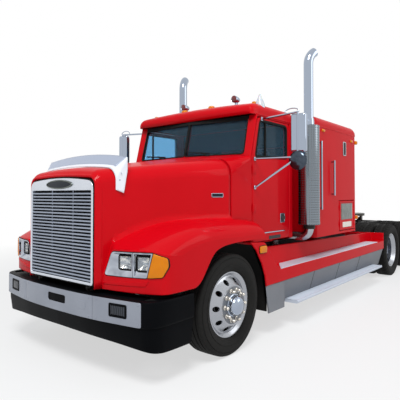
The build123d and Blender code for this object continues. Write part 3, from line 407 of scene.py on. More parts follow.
def rounded_outline(corners, radius, steps=5, runs=1):
    """A closed outline with round corners: each corner is a quadratic curve between points one radius before and
    after it, and each straight run between two corners is cut into equal parts."""
    corners = np.asarray(corners, float)
    radius = np.broadcast_to(np.asarray(radius, float), len(corners))[:, None]
    before = np.roll(corners, 1, 0) - corners
    after = np.roll(corners, -1, 0) - corners
    start = corners + before / np.linalg.norm(before, axis=1, keepdims=True) * radius
    end = corners + after / np.linalg.norm(after, axis=1, keepdims=True) * radius
    t = np.linspace(0, 1, steps)[None, :, None]
    bend = (1 - t) ** 2 * start[:, None] + 2 * t * (1 - t) * corners[:, None] + t ** 2 * end[:, None]
    s = (np.arange(1, runs) / runs)[None, :, None]
    run = (1 - s) * end[:, None] + s * np.roll(start, -1, 0)[:, None]
    return np.concatenate([bend, run], 1).reshape(-1, 2)


def inset(outline, distance):
    """An outline drawn in by a distance, each point along the normal of the line between its neighbours."""
    along = np.roll(outline, -1, 0) - np.roll(outline, 1, 0)
    normal = np.stack([-along[:, 1], along[:, 0]], -1) / np.linalg.norm(along, axis=1, keepdims=True)
    x, y = outline.T
    area = np.sum(x * np.roll(y, -1) - y * np.roll(x, -1))
    return outline + np.sign(area) * distance * normal


def ringed(rows, place):
    """A sheet whose rows are closed outlines, each put in space at its own depth."""
    grid = np.array([place(outline, depth) for outline, depth in rows])
    return np.concatenate([grid, grid[:, :1]], 1)


def plate(outline, place, back, face, edge, crown=0.0):
    """A plate: from the middle of its back out to the edge, up it, over a quarter round, and in over the face,
    which rises by the crown as 1 - r squared towards the middle."""
    middle = outline.mean(0)
    turn = np.linspace(0, np.pi / 2, 4)
    rim = [(inset(outline, edge * (1 - np.cos(t))), face - edge * (1 - np.sin(t))) for t in turn]
    top = rim[-1][0]
    field = [(middle + (top - middle) * r, face + crown * (1 - r * r)) for r in (0.8, 0.6, 0.4, 0.2, 0.0)]
    return ringed([(middle + 0 * outline, back), (outline, back)] + rim + field, place)


def carried(profile, start, stop, axis):
    """A closed outline carried straight along an axis, its ends closed to the outline's middle."""
    profile = np.asarray(profile, float)
    closed = np.concatenate([profile, profile[:1]])
    middle = np.broadcast_to(profile.mean(0), closed.shape)
    grid = np.empty((4, len(closed), 3))
    grid[..., [k for k in range(3) if k != axis]] = np.stack([middle, closed, closed, middle])
    grid[..., axis] = np.array((start, start, stop, stop))[:, None]
    return grid


def mirrored(surfaces):
    """The same grids on the other side of the middle plane, their columns turned round to face outwards."""
    return [grid[:, ::-1] * np.array((-1, 1, 1)) for grid in surfaces]


def both(surfaces):
    """Grids with their mirror images, for the two sides of the truck."""
    return surfaces + mirrored(surfaces)


on_ledge = face_at(2, LEDGE_Z)
strip_edges = [((LEDGE_IN, inner), (LEDGE_OUT, outer), (LEDGE_OUT, rear), (LEDGE_IN, rear))
               for inner, outer, rear in LEDGE_STRIPS]
strips = [plate(rounded_outline(edge, 0.012), on_ledge, 0.0, 0.006, 0.003) for edge in strip_edges]
ridge = np.linspace(1.268, 1.128, 15)
board_profile = np.concatenate([((1.109, 0.2925), (1.272, 0.2925), (1.285, 0.297), (1.2895, 0.306), (1.2895, 0.322),
                                 (1.285, 0.331), (1.276, 0.3345)),
                                np.stack([ridge, 0.335 - 0.005 * (np.arange(15) % 2)], -1), ((1.121, 0.3345),)])
board = [carried(board_profile, aft(BOARD_FRONT), aft(BOARD_REAR), 1)]
deck = [plate(rounded_outline(oblong(-DECK_HALF, 3.60, DECK_HALF, 4.55), 0.02),
              on_ledge, DECK_Z - LEDGE_Z, DECK_Z - LEDGE_Z + 0.008, 0.004)]
treads = piece("tread_strips_boards_and_deck", both(strips + board) + deck, tread_aluminium,
               "chassis")
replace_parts(treads, "tread_plates")

# Wheel arch liners: black rubber sheets, moulded to follow the quarter panels' front edges and screwed there
# behind the front wheels.
LINER_LINE = ((0.650, 0.300), (0.650, 0.585), (0.632, 0.700), (0.562, 0.850), (0.452, 1.000), (0.345, 1.078))
front_line = np.array(LINER_LINE)
liner_profile = np.concatenate([front_line, front_line[::-1] + np.array((0.008, 0.004))])
liner = [carried(np.stack([aft(liner_profile[:, 0]), liner_profile[:, 1]], -1), 0.455, 1.182, 0)]
piece("wheel_arch_liners", both(liner), black_rubber, "chassis")

# Skirt joints and marker lamps: rubber beads in the joints between the skirts' panels, and an amber lamp in a
# black base on each quarter panel.
SKIRT_JOINTS = (1.88, 2.75, 3.63)
FAIRING_X = 1.200


def tube(path, radius, sides=24, ends=True):
    """A circle carried along a path: at each point it stands square to the path's direction there, and each end
    closes to a point."""
    path = np.asarray(path, float)
    radius = np.broadcast_to(np.asarray(radius, float), len(path))
    along = np.gradient(path, axis=0)
    along /= np.linalg.norm(along, axis=1, keepdims=True)
    steady = np.eye(3)[np.argmin(np.abs(along).max(0))]
    across = np.cross(along, steady)
    across /= np.linalg.norm(across, axis=1, keepdims=True)
    up = np.cross(across, along)
    t = np.linspace(0, 2 * np.pi, sides + 1)[None, :, None]
    ring = path[:, None] + radius[:, None, None] * (np.cos(t) * across[:, None] + np.sin(t) * up[:, None])
    if ends:
        caps = [np.repeat(path[k][None, None], sides + 1, 1) for k in (0, -1)]
        ring = np.concatenate([caps[0], ring, caps[1]])
    return ring


beads = [tube(((1.1925, aft(y), 0.583), (1.1055, aft(y), 0.292)), 0.003, 8) for y in SKIRT_JOINTS]
piece("skirt_joint_beads", both(beads), black_rubber, "chassis")
on_fairing = face_at(0, FAIRING_X)

# Moulded amber lens: orange acrylic, glossy, with flutes at a 9 mm pitch that catch the light.
amber = varied("lens_amber_acrylic", (BANDS, 0.009, {}, {"bands_direction": "Z"}), ("#C86200", "#EE9610"),
               (0.18,), {"Specular IOR Level": 0.15, "Coat Weight": 0.1}, bump=(0.3, 0.002))
marker_edge = rounded_outline(oblong(0.478, 0.965, 0.618, 1.042), 0.022)
base = [plate(inset(marker_edge, -0.006), on_fairing, -0.002, 0.006, 0.003)]
piece("quarter_marker_bases", both(base), black_rubber, "chassis")
lens = [plate(marker_edge, on_fairing, 0.004, 0.016, 0.008, 0.004)]
piece("quarter_marker_lenses", both(lens), amber, "chassis")

# Cab: a riveted aluminium shell in the same red. Each door is a pressed panel hung on outside hinges, with a black
# rubber gasket round its window, a vent bar, a paddle handle and a bright strip.
softened("cab_shell", red_paint, width=0.008, shortest=0.1)
CAB_HALF = 0.985
DOOR_OUTLINE = ((0.675, 1.050), (0.675, 2.110), (0.800, 2.530), (1.560, 2.530), (1.560, 1.050))
WINDOW_OUTLINE = ((0.745, 2.060), (0.765, 2.146), (0.845, 2.490), (1.490, 2.490), (1.490, 2.085))
VENT_BAR = 0.970
HINGE_LEVELS = (1.45, 1.90)
HINGE_AFT = 0.669
DOOR_WALL = 0.045
on_door = face_at(0, CAB_HALF)


def frame_of(outer, inner, place, back, face, edge, fill=3):
    """A flat frame: up its outer edge, over a quarter round, across the face to the opening's round edge, down to
    the back, and along the back to where it began."""
    turn = np.linspace(0, np.pi / 2, 4)
    rim = [(inset(outer, edge * (1 - np.cos(t))), face - edge * (1 - np.sin(t))) for t in turn]
    lip = [(inset(inner, -edge * (1 - np.cos(t))), face - edge * (1 - np.sin(t))) for t in turn[::-1]]
    field = [(rim[-1][0] * (1 - k) + lip[0][0] * k, face) for k in np.arange(1, fill) / fill]
    rear = [(inner * (1 - k) + outer * k, back) for k in np.arange(fill + 1) / fill]
    return ringed([(outer, back)] + rim + field + lip + rear, place)


def rounded_block(low, high, radius, steps=4):
    """A box with round edges: a sphere on a grid of longitude and latitude, its eight parts moved apart to the
    corners, and its poles drawn out to flat ends."""
    low = np.asarray(low, float)
    high = np.asarray(high, float)
    reach = (high - low) / 2 - radius
    quarter = np.linspace(0, 0.5 * np.pi, steps)
    turn = np.concatenate([quarter + k * 0.5 * np.pi for k in range(4)] + [[0.0]])
    sign_x = np.append(np.repeat((1, -1, -1, 1), steps), 1)
    sign_y = np.append(np.repeat((1, 1, -1, -1), steps), 1)
    lift = np.concatenate([quarter - 0.5 * np.pi, quarter])[:, None]
    sign_z = np.repeat((-1, 1), steps)[:, None]
    x = sign_x * reach[0] + radius * np.cos(lift) * np.cos(turn)
    y = sign_y * reach[1] + radius * np.cos(lift) * np.sin(turn)
    z = sign_z * reach[2] + radius * np.sin(lift) + 0 * turn
    body = np.stack([x, y, z], -1)
    poles = body[[0, -1]] * np.array((0, 0, 1))
    return np.concatenate([poles[:1], body, poles[1:]]) + (low + high) / 2


def sided(surfaces, side):
    """Grids as they are for the left side, or mirrored for the right."""
    return surfaces if side > 0 else mirrored(surfaces)


door_edge = rounded_outline(DOOR_OUTLINE, (0.030, 0.030, 0.050, 0.050, 0.030), 6, 5)
window_edge = rounded_outline(WINDOW_OUTLINE, (0.030, 0.005, 0.050, 0.060, 0.040), 6, 5)
door_panel = [frame_of(door_edge, window_edge, on_door, -DOOR_WALL, 0.0, 0.007)]
for z in HINGE_LEVELS:
    barrel = ((z - 0.045, 0.0), (z - 0.045, 0.006), (z - 0.043, 0.008), (z - 0.016, 0.008), (z - 0.015, 0.0068),
              (z - 0.014, 0.008), (z + 0.014, 0.008), (z + 0.015, 0.0068), (z + 0.016, 0.008), (z + 0.043, 0.008),
              (z + 0.045, 0.006), (z + 0.045, 0.0))
    door_panel.append(turned(barrel, (0.994, aft(HINGE_AFT), 0), 16, 2))
    door_panel.append(rounded_block((0.984, aft(0.670), z - 0.044), (0.9935, aft(0.740), z + 0.044), 0.003))
seal = [frame_of(inset(window_edge, -0.020), inset(window_edge, 0.010), on_door, -0.030, 0.005, 0.004),
        rounded_block((0.956, aft(VENT_BAR - 0.009), 2.066), (0.988, aft(VENT_BAR + 0.009), 2.488), 0.004)]
handle_edge = rounded_outline(oblong(1.318, 1.250, 1.430, 1.370), 0.015)
grip_edge = rounded_outline(oblong(1.330, 1.290, 1.420, 1.335), 0.010)
strip_edge = rounded_outline(oblong(0.891, 1.140, 1.438, 1.154), 0.005)
step_edge = rounded_outline(oblong(1.041, 1.060, 1.325, 1.103), 0.006)
bright = [frame_of(handle_edge, inset(handle_edge, 0.013), on_door, -0.002, 0.007, 0.004),
          plate(strip_edge, on_door, -0.002, 0.005, 0.003)]
dish = [plate(inset(handle_edge, 0.010), on_door, -0.002, 0.002, 0.001),
        plate(grip_edge, on_door, 0.001, 0.022, 0.007),
        plate(step_edge, on_door, -0.002, 0.003, 0.002)]
trim_edge = rounded_outline(((0.800, 1.100), (1.530, 1.100), (1.530, 2.030), (0.800, 2.010)), 0.040)
inside_door = face_at(0, CAB_HALF - DOOR_WALL, -1)
door_trim = [plate(trim_edge, inside_door, 0.0, 0.009, 0.006),
             rounded_block((0.890, aft(1.00), 1.66), (0.938, aft(1.40), 1.70), 0.012)]

# Moulded interior plastic: charcoal, matt, with a leather grain about 4 mm across.
dash_plastic = varied("dash_grained_plastic", (CELLS, 0.004), ("#141517", "#222326"), (0.6,),
                      bump=(0.25, 0.001))
for side, hand in HANDS:
    for label, parts, finish, slot in (("panel_and_hinges", door_panel, red_paint, "red_paint"),
                                       ("window_seal", seal, black_rubber, "black_rubber"),
                                       ("dark_parts", dish, dash_plastic, "black_plastic"),
                                       ("bright_parts", bright, chrome, "bright_steel"),
                                       ("inner_trim", door_trim, dash_plastic, "black_plastic")):
        item = piece("door_" + hand + "_" + label, sided(parts, side), finish, "door_" + hand)
        if parts is door_panel:
            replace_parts(item, "door_" + hand)

# Tinted safety glass: clear sky blue to look through, dark before the cab, smooth, faintly streaked by wiping.
window_glass = varied("window_tinted_glass", (NOISE, 0.3, {"Detail": 3.0}), ("#A2CEE8",), (0.0, 0.01),
                      {"IOR": 1.12, "Transmission Weight": 0.96})
for node in ("windshield", "door_glass_left", "door_glass_right"):
    frame["nodes"][node].data.materials.clear()
    frame["nodes"][node].data.materials.append(window_glass)

# Windshield: two panes of safety glass held in black rubber gaskets, with a bar between them. A black header band
# runs along the top, partly a real black header and partly painted shadow of the roof's brow on the glass, and two
# black wipers stand on pivots at the foot.
SCREEN_PANE = ((0.014, 2.100), (0.868, 2.095), (0.862, 2.505), (0.014, 2.515))
SCREEN_FOOT = 2.065
SCREEN_HEIGHT = 0.495
SCREEN_HALF = 0.89
HEADER_BAND = ((-0.880, 2.506), (0.0, 2.512), (0.880, 2.506), (0.880, 2.557), (0.0, 2.557), (-0.880, 2.557))
WIPER_FOOT = ((-0.020, 0.0), (-0.020, 0.018), (0.008, 0.016), (0.014, 0.008), (0.014, 0.0))
WIPERS = (
    # pivot, elbow, blade's near end, blade's far end, each (x, z)
    ((0.389, 2.072), (0.265, 2.137), (0.398, 2.116), (-0.017, 2.154)),
    ((-0.397, 2.083), (-0.500, 2.122), (-0.360, 2.106), (-0.751, 2.136)),
)


def on_screen(outline, out):
    """Front points (x, z) put this far ahead of the glass: its line leans back with height, and its plan is a
    shallow V, straight from the middle to each pillar."""
    x, z = outline.T
    t = (z - SCREEN_FOOT) / SCREEN_HEIGHT
    middle = 0.585 + 0.115 * t
    pillar = 0.650 + 0.125 * t
    return np.stack([x, aft(middle + (pillar - middle) * np.abs(x) / SCREEN_HALF - out), z], -1)


pane_edge = rounded_outline(SCREEN_PANE, (0.012, 0.035, 0.035, 0.012), 6, 4)
screen_gasket = [frame_of(inset(pane_edge, -0.0135), inset(pane_edge, 0.003), on_screen, -0.024, 0.006, 0.004)]
# The header band is black partly as painted shadow of the roof's brow.
header_band_with_painted_shadow = [plate(rounded_outline(HEADER_BAND, 0.004), on_screen, -0.004, 0.004, 0.003)]
piece("windshield_seals", both(screen_gasket), black_rubber, "chassis")
piece("windshield_header", header_band_with_painted_shadow, black_rubber, "chassis")
wipers = []
for pivot, elbow, near, far in WIPERS:
    arm = on_screen(np.array((pivot, elbow)), 0.022)
    blade = on_screen(np.linspace(near, far, 9), 0.014)
    back = on_screen(np.linspace(near, far, 9)[1:-1], 0.024)
    wipers += [tube(arm, (0.014, 0.010), 10), tube(blade, 0.009, 8), tube(back, 0.007, 8)]
    foot = on_screen(np.array((pivot,)), 0.014)[0]
    wipers.append(turned(WIPER_FOOT, foot, 16, 2))
piece("wipers", wipers, black_rubber, "chassis")

# Cab lining: charcoal plastic panels, moulded and clipped to the back wall beside and over the way through to
# the sleeper, and a headliner under the roof.
BACK_WALL = 1.609
LINING_TOP = 2.556
on_back_wall = face_at(1, aft(BACK_WALL), -1)
under_roof = face_at(2, LINING_TOP, -1)
LINING = ((0.545, 1.120), (0.545, 2.240), (0.930, 2.240), (0.930, 1.120))
HEADER_LINING = ((-0.930, 2.244), (-0.930, 2.540), (0.930, 2.540), (0.930, 2.244))
HEADLINER = ((-0.900, 0.860), (-0.900, 1.600), (0.900, 1.600), (0.900, 0.860))
back_lining = [plate(rounded_outline(LINING, 0.02), on_back_wall, 0.0, 0.008, 0.005)]
lining = [plate(rounded_outline(HEADER_LINING, 0.02), on_back_wall, 0.0, 0.008, 0.005),
          plate(rounded_outline(HEADLINER, 0.03), under_roof, 0.0, 0.010, 0.006)]
piece("cab_lining", both(back_lining) + lining, dash_plastic, "chassis")

# Dash and steering wheel: moulded charcoal plastic, the dash screwed to the cab's front wall and the wheel held
# on its column by a nut. Both are seen through the glass.
softened("dashboard", dash_plastic, width=0.012)
softened("steering_wheel", dash_plastic, width=0.003)

# Seats: two air-ride seats, each a cushion and a back of foam under sewn grey woven cloth, bolted to the floor
# on a pedestal with a plastic cover.
SEAT_X = 0.5
PAD_POWER = 0.38


def pad(centre, half, lean, crown):
    """A cushion on a grid of longitude u and latitude v: a superellipsoid whose sides are drawn in by the crown
    between its corners, then leaned back by lean metres per metre of height."""
    u = np.linspace(-np.pi, np.pi, 65)[None, :]
    v = np.linspace(-np.pi / 2, np.pi / 2, 33)[:, None]

    def eased(wave):
        return np.sign(wave) * np.abs(wave) ** PAD_POWER

    x = eased(np.cos(v)) * eased(np.cos(u))
    y = eased(np.cos(v)) * eased(np.sin(u))
    z = eased(np.sin(v)) * np.ones_like(u)
    bulge = 1 - crown * (x ** 2) * (1 - y ** 2) - crown * (y ** 2) * (1 - x ** 2)
    swell = 1 - 0.6 * crown * (x ** 4 + y ** 4) / 2
    points = np.stack([x * half[0] * bulge, y * half[1] * bulge, z * half[2] * swell], -1)
    points[..., 1] += lean * points[..., 2]
    return points + np.asarray(centre)


def woven_seat(tree, place):
    """Seat cloth: grey wool blend, matt, woven at a 4 mm pitch, drawn coarser than the real 1 mm thread."""
    kind, output, turns = BANDS
    across, up = [add(tree, kind, {"Vector": place.outputs["Object"], "Scale": turns / 0.004},
                      bands_direction=way).outputs[output] for way in "XZ"]
    weave = add(tree, "ShaderNodeMath", {0: across, 1: up}, operation="MULTIPLY")
    colour = add(tree, "ShaderNodeMixRGB", {"Fac": weave.outputs["Value"], "Color1": linear("#2F3136"),
                                            "Color2": linear("#4A4D54")})
    bump = add(tree, "ShaderNodeBump", {"Height": weave.outputs["Value"], "Strength": 0.3, "Distance": 0.001})
    return {"Base Color": colour.outputs["Color"], "Roughness": 0.9, "Sheen Weight": 0.3,
            "Normal": bump.outputs["Normal"]}


seat_cloth = finish_of("seat_woven_grey_cloth", woven_seat)
for side, hand in HANDS:
    foam = pad((side * SEAT_X, aft(1.19), 1.515), (0.235, 0.235, 0.075), 0, 0.06)
    cushion = piece("seat_cushion_" + hand, [foam], seat_cloth, "chassis", sharp=180)
    foam = pad((side * SEAT_X, aft(1.49), 1.905), (0.225, 0.055, 0.325), 0.15, 0.06)
    back = piece("seat_back_" + hand, [foam], seat_cloth, "chassis", sharp=180)

pedestals = [rounded_block((side * SEAT_X - 0.17, aft(1.04), 1.08), (side * SEAT_X + 0.17, aft(1.36), 1.45), 0.02)
             for side in (1, -1)]
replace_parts(piece("seat_pedestals", pedestals, dash_plastic, "chassis"), "seats")

# Cab roof and sleeper roof: aluminium skins, stretched over a form so that their edges roll over in a large
# radius, riveted to the walls all round and painted in the same red.
CAB_ROOF = (
    # aft, half width, top, corner, crown
    (0.690, 0.950, 2.630, 0.035, 0.010),
    (0.700, 0.958, 2.660, 0.055, 0.012),
    (0.740, 0.975, 2.700, 0.080, 0.018),
    (0.840, 0.985, 2.735, 0.100, 0.025),
    (1.655, 0.985, 2.745, 0.100, 0.030),
)
CAB_ROOF_LOW = 2.56
SLEEPER_ROOF_LOW = 2.57
ROOF_SKIN = 0.012
SLEEPER_ROOF = (
    # aft, half width, top, corner, crown
    (1.985, 1.150, 2.660, 0.060, 0.010),
    (2.003, 1.155, 2.700, 0.085, 0.016),
    (2.070, 1.160, 2.740, 0.110, 0.025),
    (3.460, 1.160, 2.740, 0.110, 0.025),
    (3.530, 1.155, 2.700, 0.085, 0.016),
    (3.550, 1.150, 2.650, 0.060, 0.010),
)


def through(at, xs, ys):
    """Values at places along a smooth line through points: cubic pieces whose slope at each point is the harmonic
    mean of the runs beside it, or level at a peak, so that the line never overshoots."""
    at = np.asarray(at, float)
    xs = np.asarray(xs, float)
    ys = np.asarray(ys, float)
    run = np.diff(ys) / np.diff(xs)
    product = run[:-1] * run[1:]
    rising = product > 0
    inner = np.where(rising, 2 * product / np.where(rising, run[:-1] + run[1:], 1), 0)
    slope = np.concatenate([run[:1], inner, run[-1:]])
    k = np.clip(np.searchsorted(xs, at) - 1, 0, len(xs) - 2)
    h = xs[k + 1] - xs[k]
    t = np.clip((at - xs[k]) / h, 0, 1)
    return ((2 * t ** 3 - 3 * t ** 2 + 1) * ys[k] + (t ** 3 - 2 * t ** 2 + t) * h * slope[k]
            + (3 * t ** 2 - 2 * t ** 3) * ys[k + 1] + (t ** 3 - t ** 2) * h * slope[k + 1])


def crowned(half, top, corner, crown, low, steps=14):
    """Right-hand half of front view sections, from the middle of the top to the low edge: a parabola that drops by
    the crown, a round corner, then an upright side. Each value may be a column, one row for each section."""
    half, top, corner, crown, low = [np.reshape(v, (-1, 1)) + 0.0 for v in (half, top, corner, crown, low)]
    s = np.linspace(0, 1, steps)[None, :]
    inner = half - corner
    bend = s[:, 1:] * np.pi / 2
    x = np.concatenate([inner * s, inner + corner * np.sin(bend), half + 0 * s[:, 1:]], 1)
    shoulder = top - crown - corner
    z = np.concatenate([top - crown * s ** 2, shoulder + corner * np.cos(bend),
                        shoulder + (low - shoulder) * s[:, 1:]], 1)
    return x, z


def whole_section(x, z):
    """A half section with its mirror image, from the right-hand low edge over the top to the left-hand one."""
    return np.concatenate([-x[:, :0:-1], x], 1), np.concatenate([z[:, :0:-1], z], 1)


def thickened(item, name, thickness):
    """Gives a sheet its thickness, inwards from the face that shows."""
    wall = item.modifiers.new(name, "SOLIDIFY")
    wall.thickness = thickness
    wall.offset = -1


def roof_skin(table, low, stations):
    """Crowned sections carried along the truck, their sizes read from smooth lines through the table, with the
    first and last sections closed by rows that shrink to the middle of their low edge."""
    table = np.array(table)
    y = stations
    sizes = [through(y, table[:, 0], table[:, k]) for k in (1, 2, 3, 4)]
    x, z = whole_section(*crowned(*sizes, low))
    grid = np.stack([x, np.broadcast_to(aft(y)[:, None], x.shape), z], -1)
    ends = []
    for row in (grid[0], grid[-1]):
        middle = np.stack([row[:, 0] * 0.97, row[:, 1], low + 0 * row[:, 2]], -1)
        ends.append(np.stack([row, middle]))
    return [np.concatenate([ends[0][1:], grid, ends[1][1:]])]


roof_y = np.concatenate([np.linspace(0.690, 0.74, 8), np.linspace(0.76, 0.95, 8), np.linspace(1.05, 1.655, 6)])
cab_roof = piece("cab_roof_skin", roof_skin(CAB_ROOF, CAB_ROOF_LOW, roof_y), red_paint, "chassis",
                 closed=False)
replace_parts(cab_roof, "cab_roof")
sleeper_y = np.concatenate([np.linspace(1.985, 2.07, 9), np.linspace(2.2, 3.4, 8), np.linspace(3.46, 3.55, 9)])
sleeper_roof = piece("sleeper_roof_skin", roof_skin(SLEEPER_ROOF, SLEEPER_ROOF_LOW, sleeper_y), red_paint,
                     "chassis", closed=False)
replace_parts(sleeper_roof, "sleeper_roof")
for skin in (cab_roof, sleeper_roof):
    thickened(skin, "skin_thickness", ROOF_SKIN)

# Sleeper: a riveted aluminium box in the same red, with a luggage door low in each side. Each door carries a raised
# frame, a polished plate and a blank label plate; a louvred vent, amber lamps and beads finish the box.
for node in ("sleeper_shell", "luggage_door_left", "luggage_door_right"):
    softened(node, red_paint, width=0.008, shortest=0.1)
softened("grab_handles", chrome, width=0.003)
SLEEPER_HALF = 1.160
on_sleeper = face_at(0, SLEEPER_HALF)
hatch_edge = rounded_outline(oblong(2.832, 1.062, 3.448, 1.508), 0.030, 6)
hatch_frame = [frame_of(hatch_edge, inset(hatch_edge, 0.022), on_sleeper, -0.002, 0.006, 0.004)]
hatch_plate = [plate(rounded_outline(oblong(2.900, 1.220, 3.365, 1.470), 0.008), on_sleeper,
                     -0.002, 0.003, 0.002)]
label_edge = rounded_outline(oblong(2.960, 1.100, 3.325, 1.182), 0.008)
hatch_label = [plate(label_edge, on_sleeper, -0.002, 0.003, 0.002)]

# Mirror stainless plate: mid grey with a painted green reflection of the ground, smeared in 0.1 m patches.
hatch_steel_painted_reflection = varied("hatch_mirror_stainless", (NOISE, 0.1, {"Detail": 4.0, "Distortion": 1.0}),
                     ("#404644", "#828884"), (0.08,), {"Metallic": 1.0})
for side, hand in HANDS:
    for label, parts, finish, slot in (("frame", hatch_frame, red_paint, "red_paint"),
                                       ("plates", hatch_plate, hatch_steel_painted_reflection, "bright_steel"),
                                       ("labels", hatch_label, nut_stainless, "bright_steel")):
        piece("luggage_door_" + hand + "_" + label, sided(parts, side), finish, "luggage_door_" + hand)
vent_edge = rounded_outline(oblong(2.985, 2.215, 3.105, 2.435), 0.015)
vent = [frame_of(vent_edge, inset(vent_edge, 0.016), on_sleeper, -0.002, 0.010, 0.004)]
louvres = [tube(on_sleeper(np.array(((2.999, z), (3.091, z))), 0.001), 0.007, 10)
           for z in np.arange(2.236, 2.42, 0.023)]
louvres.append(plate(inset(vent_edge, 0.010), on_sleeper, -0.002, 0.001, 0.001))
piece("sleeper_vent_louvres", both(louvres), dash_plastic, "chassis")
piece("sleeper_vents", both(vent), wheel_aluminium, "chassis")
markers = []
for y, z in ((3.341, 2.471), (2.249, 2.521)):
    edge = rounded_outline(oblong(y - 0.045, z - 0.018, y + 0.045, z + 0.018), 0.014)
    markers.append(plate(edge, on_sleeper, -0.002, 0.018, 0.008, 0.004))
for z in (1.234, 2.470):
    markers.append(rounded_block((1.118, aft(3.535), z - 0.030), (1.178, aft(3.600), z + 0.030), 0.014))
piece("sleeper_markers", both(markers), amber, "chassis")
roof_bead = [tube(((0.987, aft(0.790), 2.562), (0.987, aft(1.650), 2.562)), 0.007, 10),
             tube(((1.160, aft(2.050), 2.568), (1.160, aft(3.490), 2.568)), 0.005, 10)]
piece("roof_beads", both(roof_bead), red_paint, "chassis")

# Roof lamps: chromed bullet lamps with dark red lenses, moulded amber marker lamps and a milky beacon cone, each
# screwed down through its foot.
BULLET_X = 0.447
BULLET = (BULLET_X, aft(1.060), 2.862)
bullet = [turned(((0.000, 0.040), (-0.003, 0.044), (0.000, 0.046), (0.030, 0.046), (0.075, 0.041), (0.105, 0.029),
                  (0.122, 0.012), (0.126, 0.0)), BULLET, 32, 1),
          rounded_block((BULLET_X - 0.013, aft(1.095), 2.726), (BULLET_X + 0.013, aft(1.145), 2.832), 0.008)]
bullets = piece("bullet_lamps", both(bullet), chrome, "chassis")
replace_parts(bullets, "lamps")

# Moulded red lens: deep red acrylic, glossy, with a honeycomb about 8 mm across.
red_acrylic = varied("lens_red_acrylic", (CELLS, 0.008), ("#4A0508", "#7A0C10"), (0.15,), {"Coat Weight": 0.5})
front = [turned(((0.012, 0.0), (0.012, 0.0405), (0.000, 0.0405), (-0.006, 0.030), (-0.009, 0.015), (-0.010, 0.0)),
                BULLET, 32, 1)]
piece("bullet_lenses", both(front), red_acrylic, "chassis")
ROUND_MARKER = ((-0.030, 0.0), (-0.030, 0.048), (0.004, 0.047), (0.020, 0.038), (0.028, 0.020), (0.030, 0.0))
roof_markers = [turned(ROUND_MARKER, (0.234, aft(0.860), 2.735), 28, 2),
                rounded_block((0.826, aft(0.900), 2.690), (0.872, aft(1.030), 2.752), 0.014)]
piece("roof_markers", both(roof_markers), amber, "chassis")
CONE = ((2.660, 0.0), (2.660, 0.062), (2.712, 0.062), (2.728, 0.056), (2.800, 0.026), (2.838, 0.012),
        (2.846, 0.006), (2.848, 0.0))
cone = [turned(CONE, (0.905, aft(0.968), 0), 32, 2)]

# Moulded lamp cone: milky white acrylic, glossy, faintly clouded in 30 mm patches.
milky_acrylic = varied("lens_milky_acrylic", (NOISE, 0.03, {"Detail": 3.0}), ("#BFC4CC", "#DDE1E6"), (0.2,),
                       {"Subsurface Weight": 0.3})
piece("roof_cone", cone, milky_acrylic, "chassis")

# Exhaust: chromed steel pipes clamped on mufflers, which stand inside guards of perforated stainless, with
# bright elbows that turn in under the cab.
STACK_X = 1.142
STACK_Y = aft(1.825)
PIPE_RADIUS = 0.064
GUARD_RADIUS = 0.145
GUARD_LOW = 1.205
GUARD_TOP = 2.535
TIP_START = 3.372
TIP_BEND = 0.205
TIP_TURN = math.radians(60)
TIP_OUT = math.radians(24)
tip_angle = np.linspace(0, TIP_TURN, 16)
tip_reach = TIP_BEND * (1 - np.cos(tip_angle))
tip = np.stack([STACK_X + tip_reach * math.sin(TIP_OUT), STACK_Y + tip_reach * math.cos(TIP_OUT),
                TIP_START + TIP_BEND * np.sin(tip_angle)], -1)
rise = np.stack([np.full(10, STACK_X), np.full(10, STACK_Y), np.linspace(2.50, 3.34, 10)], -1)
pipe_path = np.concatenate([rise, tip])
outer = tube(pipe_path, PIPE_RADIUS, 32, ends=False)
inner = tube(pipe_path[-12:], PIPE_RADIUS - 0.003, 32, ends=False)[::-1]
mouth = np.stack([outer[-1], inner[0]])
clamp = turned(((2.600, 0.066), (2.600, 0.072), (2.628, 0.072), (2.628, 0.066)), (STACK_X, STACK_Y, 0), 32, 2)
sleeve = turned(((2.535, 0.064), (2.535, 0.076), (2.600, 0.074), (2.604, 0.066)), (STACK_X, STACK_Y, 0), 32, 2)
stack = [outer, clamp, sleeve]
pipes = piece("exhaust_pipes", both(stack), chrome, "chassis", sharp=40)
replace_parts(pipes, "exhaust_stacks")

# Inside of a pipe and band below a guard: heat-browned steel, dull, sooty in patches about 50 mm across.
soot_steel = varied("exhaust_sooty_steel", (NOISE, 0.05, {"Detail": 5.0}), ("#0E0D0D", "#3A3532"), (0.6,),
                    {"Metallic": 0.5})
bore = [np.concatenate([mouth, inner, np.repeat(pipe_path[-12][None, None], 33, 1)])]
band = [turned(((1.150, 0.0), (1.150, 0.078), (1.21, 0.078), (1.21, 0.0)), (STACK_X, STACK_Y, 0), 32, 2)]
piece("exhaust_bores_and_bands", both(bore + band), soot_steel, "chassis", closed=False)

ELBOW_BEND = 0.11
ELBOW_TOP = 1.155
RUN_IN_Z = 1.045
DROP_BEND = 0.06
elbow_angle = np.linspace(0, np.pi / 2, 14)
elbow = np.stack([STACK_X - ELBOW_BEND * (1 - np.cos(elbow_angle)), np.full(14, STACK_Y),
                  ELBOW_TOP - ELBOW_BEND * np.sin(elbow_angle)], -1)
inward = np.stack([np.linspace(0.98, 0.66, 6), np.full(6, STACK_Y), np.full(6, RUN_IN_Z)], -1)
down = np.stack([0.66 - DROP_BEND * np.sin(elbow_angle), np.full(14, STACK_Y),
                 RUN_IN_Z - DROP_BEND * (1 - np.cos(elbow_angle))], -1)
drop = np.array(((0.60, STACK_Y, 0.93), (0.60, STACK_Y, 0.84)))
elbows = [tube(np.concatenate([elbow, inward, down, drop]), 0.060, 28)]
piece("exhaust_elbows", both(elbows), wheel_aluminium, "chassis")


